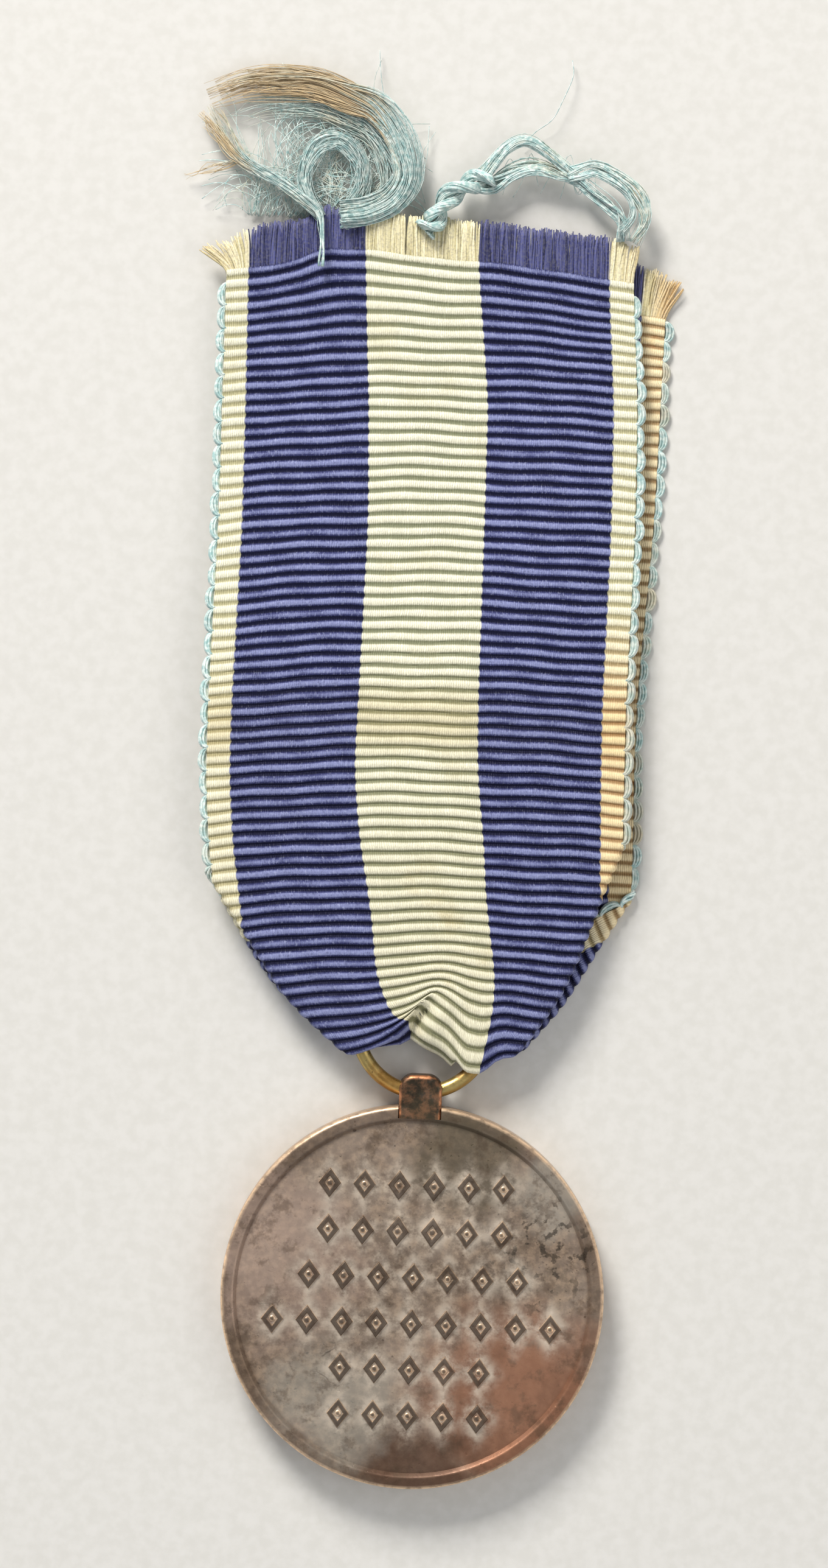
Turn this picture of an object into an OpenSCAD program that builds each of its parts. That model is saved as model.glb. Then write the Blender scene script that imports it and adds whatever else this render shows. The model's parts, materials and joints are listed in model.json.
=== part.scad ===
// A service medal on a folded ribbon, lying on its back face.
// The disc's centre is over the origin, +Y runs up through the lug and the ribbon,
// and +Z points out of the shown face. All sizes are in millimetres.

/* [Disc] */
// Diameter of the struck disc
disc_d = 32; // [28:0.5:38.5]
// Thickness over both rims
disc_t = 3; // [2.4:0.1:3.6]
// Width of the raised rim
rim_w = 1.1; // [0.8:0.1:1.6]
// Depth of the sunk field on each face
field_depth = 0.35; // [0.25:0.05:0.5]
// Chamfer on the disc's outer corners
edge_chamfer = 0.25; // [0.1:0.05:0.4]

/* [Ornament] */
// Distance between the rows on the shown face
row_pitch = 3.84; // [3.2:0.02:4]
// Distance between the lozenges in a row
lozenge_pitch = 2.9; // [2.6:0.05:3.1]
// Height of a lozenge
lozenge_h = 2.5; // [1.8:0.1:2.9]
// Width of a lozenge
lozenge_w = 1.9; // [1.4:0.1:2.2]
// Width of the lozenge's raised line
lozenge_line = 0.38; // [0.25:0.01:0.5]
// Height of the ornament above the field
relief_h = 0.22; // [0.1:0.02:0.25]
// Diameter of the plain roundel on the back face
roundel_d = 13; // [9:0.5:15]
// Leaves in the wreath on the back face
leaf_count = 26; // [20:2:32]
// Length of a leaf
leaf_l = 4.2; // [3:0.1:4.6]
// Width of a leaf
leaf_w = 1.5; // [1:0.1:1.8]

/* [Lug] */
// Width of the lug
lug_w = 3.6; // [3:0.1:4.4]
// Wall between the ring's hole and the outside of the lug
lug_wall = 0.45; // [0.4:0.05:0.7]
// Radius of the lug's corners as seen from the front
lug_corner_r = 1.2; // [0.6:0.1:1.4]
// Radius of the lug's top edges as seen from the side
lug_edge_r = 0.5; // [0.3:0.05:0.8]

/* [Ring] */
// Diameter of the ring at the middle of its wire
ring_d = 11; // [9:0.1:13.4]
// Diameter of the ring's wire
wire_d = 1.2; // [0.9:0.02:1.4]
// Width of the seam where the wire's ends meet
seam_w = 0.08; // [0.04:0.01:0.2]

/* [Ribbon] */
// Width of the ribbon without its edge loops
ribbon_w = 35; // [29:0.5:42]
// Thickness of one layer
ribbon_t = 0.38; // [0.3:0.01:0.48]
// Width of each pale edge stripe
edge_stripe_w = 2; // [1.5:0.1:2.5]
// Width of the pale centre stripe
centre_stripe_w = 9.6; // [8:0.2:12]
// Woven height of the front layer above the disc's centre
front_top_y = 86.6; // [70:0.2:105]
// Woven height of the back layer above the disc's centre
back_top_y = 83.8; // [70:0.2:100]
// Sideways shift of the front layer
front_x = -1.55; // [-2:0.05:0]
// Sideways shift of the back layer
back_x = 0.15; // [-1:0.05:1]
// Height of the line where the ribbon bends
bend_y = 35.5; // [33:0.5:46]
// Largest bend of the ribbon, each way, in degrees
bend_limit = 45; // [20:1:50]

/* [Yarn] */
// Distance between the ribbon's ribs
rib_pitch = 0.975; // [0.8:0.005:1.2]
// Thickness of the weft yarn in the edge loops
loop_d = 0.36; // [0.28:0.02:0.42]
// Length of the frayed ends of the front layer
front_fray = 3.6; // [2:0.2:5]
// Length of the frayed ends of the back layer
back_fray = 4.4; // [2:0.2:6]
// Width of one frayed lock
lock_w = 1; // [0.6:0.1:1.4]
// Thickness of the twisted skein
skein_d = 1.8; // [1.2:0.1:2.4]
// Thickness of the locks in the tangle
tuft_d = 1.8; // [1.4:0.1:2.6]

/* [Clearances] */
// Gap all round the wire in the lug's hole
hole_gap = 0.15; // [0.09:0.02:0.31]
// Gap between the wire and the ribbon above and below it
pocket_gap = 0.14; // [0.08:0.02:0.3]
// Gap between the ribbon's fold and the inside of the ring
fold_side_gap = 0.36; // [0.2:0.02:0.6]
// Gap between the swinging lug and the ribbon's fold
fold_end_gap = 0.36; // [0.2:0.02:0.6]
// Extra gap between the ribbon's parts at the bend
bend_gap = 0.08; // [0.02:0.02:0.2]

/* [Hidden] */
$fn = 96;

EPS = 0.01;
disc_r = disc_d / 2;
ring_r = ring_d / 2;
wire_r = wire_d / 2;
lug_half = lug_w / 2;

// The ring's curve rises this much between the lug's middle and its sides.
ring_rise = ring_r - sqrt(ring_r * ring_r - lug_half * lug_half);
hole_r = wire_r + ring_rise + hole_gap;
lug_t = max(disc_t, 2 * (hole_r + lug_wall));
hole_y = disc_r + hole_r;
lug_top_y = hole_y + hole_r + lug_wall;
lug_seat_y = disc_r - rim_w;
ring_y = hole_y + ring_r;

// The ribbon's two layers, its turned corners and the wire between them.
stack_half = 2 * ribbon_t + pocket_gap + wire_r;
mid_z = max(disc_t / 2, lug_t / 2, stack_half);
disc_z = mid_z - disc_t / 2;
front_z = mid_z + stack_half - ribbon_t;
back_z = mid_z - stack_half;
front_corner_z = front_z - ribbon_t;
back_corner_z = back_z + ribbon_t;

// The fold hangs inside the ring, clear of the lug as it swings.
lug_reach = sqrt(pow(lug_t / 2, 2) + pow(hole_r + lug_wall, 2));
fold_bottom_y = hole_y + lug_reach + fold_end_gap;
fold_start_y = fold_bottom_y + stack_half;
fold_half = sqrt(pow(ring_r - wire_r, 2) - pow(ring_y - fold_bottom_y, 2)) - fold_side_gap;
lobe_left = -fold_half - 1.9;
lobe_right = fold_half + 2.4;
lobe_y = fold_bottom_y + 0.5;

bend_half_gap = stack_half * tan(bend_limit / 2) + bend_gap;
upper_bottom_y = bend_y + bend_half_gap;
lower_top_y = bend_y - bend_half_gap;

dark_stripe_w = (ribbon_w - centre_stripe_w) / 2 - edge_stripe_w;
EDGE_IN = ribbon_w / 2 - edge_stripe_w;
CENTRE_HALF = centre_stripe_w / 2;

// Where the loose yarn lies, counted from the middle of the front layer's top.
SKEIN_ROUTE = [
    [-0.4, 3.2], [0.7, 5.2], [2.6, 6.6], [4.4, 7.2], [6, 8.4], [8, 8.7], [9.9, 7.8],
    [11.4, 7.5], [13.2, 7.3], [15, 6], [16.2, 4.4], [15.8, 2.6]
];
LOCK_ROUTE = [
    [-8.2, 3.6], [-6, 3.9], [-4, 4.9], [-2.9, 6.7], [-3.2, 8.7], [-4.2, 10.7], [-5.8, 12.4],
    [-8, 13.3], [-10.8, 14.2], [-13.8, 14.4], [-16.6, 14.1], [-19.6, 12.9]
];
STRAND_ROUTE = [
    [-9.9, 3.5], [-12.4, 5.4], [-14.8, 6.8], [-16.9, 8.1], [-18.6, 10.4], [-20, 12]
];
SWIRL_CENTRE = [-8.9, 6.9];
SWIRL_R = 2.6;
TUBE_SIDES = 8;

// The tube's corners round the point p, square to the flat direction d.
function tube_ring(p, d, r) = [
    for (i = [0 : TUBE_SIDES - 1])
        let (a = 360 * (i + 0.5) / TUBE_SIDES)
        [p.x - d.y * r * cos(a), p.y + d.x * r * cos(a), r * sin(a)]
];
function route_direction(route, i) =
    let (v = route[min(i + 1, len(route) - 1)] - route[max(i - 1, 0)]) v / norm(v);

// A closed tube of radius r along a flat route.
module tube_along(route, r) {
    last = len(route) - 1;
    s = TUBE_SIDES;
    points = [for (i = [0 : last]) each tube_ring(route[i], route_direction(route, i), r)];
    walls = [
        for (i = [0 : last - 1]) for (j = [0 : s - 1])
            let (a = i * s + j, b = i * s + (j + 1) % s)
            each [[a, b + s, b], [a, a + s, b + s]]
    ];
    polyhedron(
        points,
        concat(walls, [[for (j = [0 : s - 1]) j]], [[for (j = [s - 1 : -1 : 0]) last * s + j]]),
        convexity = 6
    );
}

// ---- Metal parts ----

module disc_profile() {
    c = edge_chamfer;
    in_r = disc_r - rim_w;
    slope = field_depth * 0.6;
    polygon([
        [0, field_depth], [in_r - slope, field_depth], [in_r, 0], [disc_r - c, 0], [disc_r, c],
        [disc_r, disc_t - c], [disc_r - c, disc_t], [in_r, disc_t],
        [in_r - slope, disc_t - field_depth], [0, disc_t - field_depth]
    ]);
}

module lozenge_outline(w, h) {
    polygon([[-w / 2, 0], [0, -h / 2], [w / 2, 0], [0, h / 2]]);
}

module lozenge() {
    linear_extrude(height = relief_h + EPS) {
        difference() {
            lozenge_outline(lozenge_w, lozenge_h);
            lozenge_outline(lozenge_w - 2.6 * lozenge_line, lozenge_h - 2.9 * lozenge_line);
        }
        circle(r = lozenge_line * 0.6);
    }
}

// Six rows of lozenges stand where such a medal carries its inscription.
ROW_COUNTS = [6, 6, 7, 9, 5, 5];

module front_ornament() {
    rows = len(ROW_COUNTS);
    for (r = [0 : rows - 1]) {
        n = ROW_COUNTS[r];
        y = row_pitch * ((rows - 1) / 2 - r) - 0.3;
        for (i = [0 : n - 1])
            translate([lozenge_pitch * (i - (n - 1) / 2), y, disc_t - field_depth - EPS]) lozenge();
    }
}

// Two arcs that meet in points, L long and W wide.
module leaf(l, w) {
    r = (l * l + w * w) / (4 * w);
    intersection() {
        translate([0, r - w / 2]) circle(r = r);
        translate([0, w / 2 - r]) circle(r = r);
    }
}

module back_wreath() {
    r = (roundel_d / 2 + disc_r - rim_w) / 2;
    half = leaf_count / 2;
    for (side = [-1, 1]) for (i = [0 : half - 1]) {
        a = side * (12 + i * 156 / (half - 1)) - 90;
        translate([r * cos(a), r * sin(a), field_depth - relief_h])
            rotate([0, 0, a + side * 62])
                linear_extrude(height = relief_h + EPS) leaf(leaf_l, leaf_w);
    }
}

module medal_disc() {
    color("#6b5442") translate([0, 0, disc_z]) difference() {
        union() {
            rotate_extrude() disc_profile();
            cylinder(d = roundel_d, h = field_depth + EPS);
            front_ornament();
            back_wreath();
        }
        translate([-lug_half, lug_seat_y, -EPS]) cube([lug_w, disc_r, disc_t + 2 * EPS]);
    }
}

module rounded_top(w, h, r) {
    translate([-w / 2, 0]) square([w, h - r]);
    translate([-w / 2 + r, 0]) square([w - 2 * r, h]);
    for (side = [-1, 1]) translate([side * (w / 2 - r), h - r]) circle(r = r);
}

module suspension_lug() {
    h = lug_top_y - lug_seat_y;
    color("#4f3f30") translate([0, lug_seat_y, 0]) difference() {
        intersection() {
            translate([0, 0, mid_z - lug_t / 2]) linear_extrude(height = lug_t)
                rounded_top(lug_w, h, lug_corner_r);
            translate([-lug_half, 0, mid_z]) rotate([90, 0, 90]) linear_extrude(height = lug_w)
                side_outline(h);
        }
        translate([-lug_w, hole_y - lug_seat_y, mid_z]) rotate([0, 90, 0])
            cylinder(r = hole_r, h = 2 * lug_w);
    }
}

// The lug from the side: X here runs up the lug and Y through its thickness.
module side_outline(h) {
    r = lug_edge_r;
    translate([0, -lug_t / 2]) square([h - r, lug_t]);
    translate([0, r - lug_t / 2]) square([h, lug_t - 2 * r]);
    for (side = [-1, 1]) translate([h - r, side * (lug_t / 2 - r)]) circle(r = r);
}

module jump_ring() {
    color("#b98f4a") translate([0, ring_y, mid_z]) difference() {
        rotate_extrude() translate([ring_r, 0]) circle(r = wire_r, $fn = 48);
        translate([-seam_w / 2, ring_r - wire_d, -wire_d]) cube([seam_w, 2 * wire_d, 2 * wire_d]);
    }
}

// ---- Ribbon above the bend ----

module upper_stripe(x, from_u, to_u, z, top_y) {
    translate([x + from_u, upper_bottom_y, z])
        cube([to_u - from_u, top_y - upper_bottom_y, ribbon_t]);
}

module edge_stripe(x, side, z, top_y) {
    from_u = side > 0 ? EDGE_IN : -ribbon_w / 2;
    color("#d9d2ae") upper_stripe(x, from_u, from_u + edge_stripe_w, z, top_y);
}

module dark_stripe(x, side, z, top_y) {
    from_u = side > 0 ? CENTRE_HALF : -EDGE_IN;
    color("#262f63") upper_stripe(x, from_u, from_u + dark_stripe_w, z, top_y);
}

module centre_stripe(x, z, top_y) {
    color("#e6e2c4") upper_stripe(x, -CENTRE_HALF, CENTRE_HALF, z, top_y);
}

// The weft turns back at every second rib and leaves a small loop there.
module edge_loops(x, side, z, top_y) {
    pitch = 2 * rib_pitch;
    r = rib_pitch * 0.56;
    count = floor((top_y - upper_bottom_y) / pitch);
    color("#b4cfc8") for (i = [0 : count - 1])
        translate([x + side * ribbon_w / 2, upper_bottom_y + (i + 0.5) * pitch, z + ribbon_t / 2])
            rotate([0, 0, side > 0 ? -90 : 90]) rotate_extrude(angle = 180)
                translate([r, 0]) circle(d = loop_d, $fn = 24);
}

// Warp ends in locks of uneven length.
module frayed_ends(x, z, from_y, length) {
    count = round(ribbon_w / lock_w);
    w = ribbon_w / count;
    color("#8f93a8") translate([x - ribbon_w / 2, from_y, z]) linear_extrude(height = ribbon_t)
        polygon([
            [0, 0],
            for (i = [0 : count - 1]) each [
                [i * w, length * (0.62 + 0.1 * sin(i * 77))],
                [(i + 0.5) * w, length * (0.9 + 0.1 * sin(i * 131))]
            ],
            [ribbon_w, length * 0.62],
            [ribbon_w, 0]
        ]);
}

module twisted_weft_skein() {
    color("#a9c6c4") translate([front_x, front_top_y, mid_z])
        tube_along(SKEIN_ROUTE, skein_d / 2);
}

module tangled_weft_tuft() {
    color("#b9c2ae") translate([front_x, front_top_y, mid_z]) {
        tube_along(LOCK_ROUTE, tuft_d / 2);
        tube_along(STRAND_ROUTE, tuft_d / 2);
        translate([SWIRL_CENTRE.x, SWIRL_CENTRE.y, 0])
            rotate_extrude() translate([SWIRL_R, 0]) circle(d = tuft_d, $fn = 24);
    }
}

// ---- Ribbon below the bend ----

// The narrowing outline of a layer between the bend and the fold.
module lower_outline(x) {
    polygon([
        [x - ribbon_w / 2, lower_top_y], [lobe_left, lobe_y], [-fold_half, fold_start_y],
        [fold_half, fold_start_y], [lobe_right, lobe_y], [x + ribbon_w / 2, lower_top_y]
    ]);
}

// The part of a layer between two heights of the strip, which slant to the fold.
module lower_band(x, top_from, top_to, foot_from, foot_to, z) {
    translate([0, 0, z]) linear_extrude(height = ribbon_t) intersection() {
        lower_outline(x);
        polygon([
            [x + top_from, lower_top_y], [x + top_to, lower_top_y],
            [foot_to, fold_bottom_y - 2], [foot_from, fold_bottom_y - 2]
        ]);
    }
}

FAR = 40;
CENTRE_FOOT = 0.8;

module lower_centre(x, z) {
    color("#e6e2c4")
        lower_band(x, -CENTRE_HALF, CENTRE_HALF, -fold_half * CENTRE_FOOT, fold_half, z);
}

module lower_dark(x, side, z) {
    color("#262f63") if (side < 0)
        lower_band(x, -FAR, -CENTRE_HALF, -FAR, -fold_half * CENTRE_FOOT, z);
    else
        lower_band(x, CENTRE_HALF, FAR, fold_half, FAR, z);
}

function mirrored(c, a, b) =
    let (d = (b - a) / norm(b - a), foot = a + d * ((c - a) * d)) 2 * foot - c;

// The ribbon's corner, turned in along the slanting edge and lying inside its layer.
module turned_corner(x, side, z) {
    a = [x + side * ribbon_w / 2, lower_top_y];
    b = [side < 0 ? lobe_left : lobe_right, lobe_y];
    c = mirrored([a.x, b.y], a, b);
    color("#2b3467") translate([0, 0, z]) linear_extrude(height = ribbon_t) polygon([a, b, c]);
}

module fold_through_ring() {
    color("#e6e2c4") translate([-fold_half, fold_start_y, mid_z]) rotate([0, 90, 0])
        difference() {
            cylinder(r = stack_half, h = 2 * fold_half);
            translate([0, 0, -EPS])
                cylinder(r = stack_half - ribbon_t, h = 2 * fold_half + 2 * EPS);
            translate([-2 * stack_half, 0, -EPS])
                cube([4 * stack_half, 2 * stack_half, 2 * fold_half + 2 * EPS]);
        }
}

medal_disc();
suspension_lug();
jump_ring();

centre_stripe(front_x, front_z, front_top_y);  // front_centre_stripe
dark_stripe(front_x, -1, front_z, front_top_y);  // front_dark_stripe_left
dark_stripe(front_x, 1, front_z, front_top_y);  // front_dark_stripe_right
edge_stripe(front_x, -1, front_z, front_top_y);  // front_edge_stripe_left
edge_stripe(front_x, 1, front_z, front_top_y);  // front_edge_stripe_right

centre_stripe(back_x, back_z, back_top_y);  // back_centre_stripe
dark_stripe(back_x, -1, back_z, back_top_y);  // back_dark_stripe_left
dark_stripe(back_x, 1, back_z, back_top_y);  // back_dark_stripe_right
edge_stripe(back_x, -1, back_z, back_top_y);  // back_edge_stripe_left
edge_stripe(back_x, 1, back_z, back_top_y);  // back_edge_stripe_right

edge_loops(front_x, -1, front_z, front_top_y);  // front_edge_loops_left
edge_loops(front_x, 1, front_z, front_top_y);  // front_edge_loops_right
edge_loops(back_x, -1, back_z, back_top_y);  // back_edge_loops_left
edge_loops(back_x, 1, back_z, back_top_y);  // back_edge_loops_right

frayed_ends(front_x, front_z, front_top_y, front_fray);  // front_frayed_ends
frayed_ends(back_x, back_z, back_top_y, back_fray);  // back_frayed_ends
twisted_weft_skein();
tangled_weft_tuft();

lower_centre(front_x, front_z);  // lower_front_centre
lower_dark(front_x, -1, front_z);  // lower_front_dark_left
lower_dark(front_x, 1, front_z);  // lower_front_dark_right
lower_centre(back_x, back_z);  // lower_back_centre
lower_dark(back_x, -1, back_z);  // lower_back_dark_left
lower_dark(back_x, 1, back_z);  // lower_back_dark_right

turned_corner(front_x, -1, front_corner_z);  // turned_corner_front_left
turned_corner(front_x, 1, front_corner_z);  // turned_corner_front_right
turned_corner(back_x, -1, back_corner_z);  // turned_corner_back_left
turned_corner(back_x, 1, back_corner_z);  // turned_corner_back_right
fold_through_ring();
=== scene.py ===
"""A service medal on its folded ribbon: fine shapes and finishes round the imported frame.

Lengths inside the classes are in millimetres and become metres where a mesh is made.
"""

import json
import logging
import math
from collections.abc import Callable, Iterator
from contextlib import contextmanager
from dataclasses import dataclass, field
from enum import Enum
from functools import reduce

import bmesh
import bpy
import numpy as np
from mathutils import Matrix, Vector


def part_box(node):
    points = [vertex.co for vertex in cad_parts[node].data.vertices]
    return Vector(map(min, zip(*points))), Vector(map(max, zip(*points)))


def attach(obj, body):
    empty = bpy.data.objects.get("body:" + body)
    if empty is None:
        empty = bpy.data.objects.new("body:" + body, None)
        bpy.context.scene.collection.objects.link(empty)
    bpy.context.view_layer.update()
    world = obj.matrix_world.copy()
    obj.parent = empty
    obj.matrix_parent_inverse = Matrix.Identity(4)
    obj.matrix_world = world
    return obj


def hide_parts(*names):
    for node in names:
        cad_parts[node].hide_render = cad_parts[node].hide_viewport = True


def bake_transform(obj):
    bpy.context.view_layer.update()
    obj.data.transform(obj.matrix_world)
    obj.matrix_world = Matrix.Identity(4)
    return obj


LOG = logging.getLogger("service_medal")
MM = 0.001
TINY = 1e-7  # metres within which two places are the same
UP = np.array([0.0, 0.0, 1.0])
FULL_TURN = 6.28  # radians
UV_ALONG = 200.0  # millimetres of strip that the UV map's whole height stands for
UV_ACROSS = 100.0  # and its whole width
Colour = tuple[float, float, float]  # linear, each part from 0 to 1
Shade = tuple[int, int, int]  # as seen on a screen, each part from 0 to 255
Pair = tuple[float, float]
Node = bpy.types.Node
Socket = bpy.types.NodeSocket
Piece = bpy.types.Object

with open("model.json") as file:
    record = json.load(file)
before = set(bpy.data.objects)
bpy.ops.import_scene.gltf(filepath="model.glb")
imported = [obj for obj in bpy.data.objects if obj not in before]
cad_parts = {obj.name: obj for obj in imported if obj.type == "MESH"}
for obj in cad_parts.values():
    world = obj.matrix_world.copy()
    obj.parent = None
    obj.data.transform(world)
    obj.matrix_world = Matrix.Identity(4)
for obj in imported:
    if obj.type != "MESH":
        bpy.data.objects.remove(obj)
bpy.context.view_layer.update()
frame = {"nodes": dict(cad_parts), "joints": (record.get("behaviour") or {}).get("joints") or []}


def linear(shade: Shade) -> tuple[float, float, float, float]:
    """Turns a colour as seen on a screen into the linear one that a shader takes, with a full alpha."""
    parts = [c / 255 for c in shade]
    return tuple(c / 12.92 if c <= 0.04045 else ((c + 0.055) / 1.055) ** 2.4 for c in parts) + (1.0,)


def node_box(*names: str) -> tuple[np.ndarray, np.ndarray]:
    """Gives the box round some CAD nodes.

    Args:
        names: The nodes' names.

    Returns:
        The lowest and the highest corner, in millimetres.
    """
    corners = [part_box(name) for name in names]
    low = np.min([np.array(c[0]) for c in corners], axis=0)
    high = np.max([np.array(c[1]) for c in corners], axis=0)
    return low / MM, high / MM


def joint_y(name: str) -> float:
    """Gives a joint's place along the ribbon, in millimetres."""
    return next(joint for joint in frame["joints"] if joint["name"] == name)["pos_m"][1] / MM


def smoothstep(value: np.ndarray, low: float, high: float) -> np.ndarray:
    """Rises smoothly from 0 at low to 1 at high."""
    t = np.clip((np.asarray(value, float) - low) / (high - low), 0, 1)
    return t * t * (3 - 2 * t)


def bell(distance: np.ndarray, width: float) -> np.ndarray:
    """Gives 1 where distance is 0 and fades to nothing over about two widths."""
    return np.exp(-((np.asarray(distance, float) / width) ** 2))


class SmoothCurve:
    """A smooth line through a few given points."""

    STEP = 0.1

    def __init__(self, points: list[Pair], blur: float) -> None:
        """Samples the line and rounds its corners.

        Args:
            points: Place and value of each point, in rising order of place.
            blur: How far each corner is rounded, in the places' unit.
        """
        places, values = np.array(points, float).T
        reach = 3 * blur
        self.places = np.arange(places[0] - reach, places[-1] + reach, self.STEP)
        raw = np.interp(self.places, places, values)
        offsets = np.arange(-reach, reach + self.STEP, self.STEP)
        weights = np.exp(-0.5 * (offsets / blur) ** 2)
        padded = np.pad(raw, len(offsets) // 2, mode="edge")
        self.values = np.convolve(padded, weights / weights.sum(), mode="valid")[: len(self.places)]

    def at(self, place: np.ndarray) -> np.ndarray:
        """Reads the line at one place or many."""
        return np.interp(place, self.places, self.values)


# ---------------------------------------------------------------- shader parts


class NodeBoard:
    """Adds nodes to one shader tree and wires them."""

    def __init__(self, tree: bpy.types.NodeTree) -> None:
        """Keeps the tree that the nodes go into."""
        self.tree = tree

    def add(self, kind: str, values: dict[object, object] | None = None, **settings: object) -> Node:
        """Adds a node.

        Args:
            kind: The node's type, such as ShaderNodeMath.
            values: What feeds its inputs, by name or number.
            settings: Properties to set on the node.

        Returns:
            The new node.
        """
        node = self.tree.nodes.new(kind)
        for name, value in settings.items():
            setattr(node, name, value)
        for name, value in (values or {}).items():
            self.feed(node.inputs[name], value)
        return node

    def feed(self, socket: Socket, value: object) -> None:
        """Wires a socket into an input, or sets the input to a plain value.

        Args:
            socket: The input.
            value: A socket or a plain value.
        """
        if isinstance(value, Socket):
            self.tree.links.new(value, socket)
        else:
            socket.default_value = value

    def math(self, operation: str, *values: object, clamp: bool = False) -> Socket:
        """Adds a Math node on the given values and returns its result."""
        node = self.add("ShaderNodeMath", dict(enumerate(values)), operation=operation, use_clamp=clamp)
        return node.outputs[0]

    def times(self, *values: object) -> object:
        """Multiplies the values, one after the other."""
        return reduce(lambda first, second: self.math("MULTIPLY", first, second), values)

    def most(self, *values: object) -> object:
        """Gives the greatest of the values."""
        return reduce(lambda first, second: self.math("MAXIMUM", first, second), values)

    def remap(self, value: object, low: float, high: float, to_low: float = 0, to_high: float = 1) -> Socket:
        """Maps value from low..high to to_low..to_high, smoothly and without overshoot."""
        values = dict(enumerate((value, low, high, to_low, to_high)))
        return self.add("ShaderNodeMapRange", values, interpolation_type="SMOOTHSTEP").outputs["Result"]

    def mix(self, factor: object, first: object, second: object) -> Socket:
        """Mixes two colours; the factor is how much of the second one shows."""
        values = {"Factor": factor, "A": first, "B": second}
        return self.add("ShaderNodeMix", values, data_type="RGBA").outputs["Result"]

    def tint(self, colour: object, shade: Shade, *shares: object) -> Socket:
        """Mixes a colour towards a shade by the product of the shares."""
        return self.mix(self.times(*shares), colour, linear(shade))

    def noise(self, vector: object, scale: object, detail: float = 3.0, roughness: float = 0.55) -> Socket:
        """Adds a noise texture and returns its value."""
        values = {"Vector": vector, "Scale": scale, "Detail": detail, "Roughness": roughness}
        return self.add("ShaderNodeTexNoise", values).outputs["Fac"]

    def bump(self, height: object, distance: float, strength: float, **normal: Socket) -> Socket:
        """Adds a bump, distance metres high for a full step, on the given Normal if there is one."""
        values = {"Height": height, "Distance": distance, "Strength": strength, **normal}
        return self.add("ShaderNodeBump", values).outputs["Normal"]

    def group(self, tree: bpy.types.NodeTree, **values: object) -> Node:
        """Places a node group and feeds its named inputs."""
        return self.add("ShaderNodeGroup", values, node_tree=tree)

    def attribute(self, name: str) -> Socket:
        """Reads a number kept on the mesh."""
        return self.add("ShaderNodeAttribute", attribute_name=name).outputs["Fac"]

    def place(self) -> Socket:
        """Reads the place on the object, in metres."""
        return self.add("ShaderNodeTexCoord").outputs["Object"]

    def joined(self, x: object, y: object) -> Socket:
        """Joins two numbers into a vector."""
        return self.add("ShaderNodeCombineXYZ", {"X": x, "Y": y}).outputs[0]


def new_group(name: str, inputs: tuple[str, ...], outputs: tuple[str, ...]) -> tuple[NodeBoard, Node, Node]:
    """Starts a shader node group.

    Args:
        name: The group's name.
        inputs, outputs: Socket names. The one named Vector is a vector, and the rest are numbers.

    Returns:
        The group's board, its input node and its output node.
    """
    tree = bpy.data.node_groups.new(name, "ShaderNodeTree")
    for way, sockets in (("INPUT", inputs), ("OUTPUT", outputs)):
        for socket in sockets:
            kind = "NodeSocketVector" if socket == "Vector" else "NodeSocketFloat"
            tree.interface.new_socket(socket, in_out=way, socket_type=kind)
    board = NodeBoard(tree)
    return board, board.add("NodeGroupInput"), board.add("NodeGroupOutput")


def new_material(name: str, **constants: object) -> tuple[bpy.types.Material, NodeBoard, Node]:
    """Starts a material with one Principled shader.

    Args:
        name: The material's name.
        constants: Shader input names, with _ for a space, and their plain values.

    Returns:
        The material, its board and its shader node.
    """
    material = bpy.data.materials.new(name)
    material.use_nodes = True
    shader = material.node_tree.nodes["Principled BSDF"]
    for socket, value in constants.items():
        shader.inputs[socket.replace("_", " ")].default_value = value
    return material, NodeBoard(material.node_tree), shader


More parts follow.
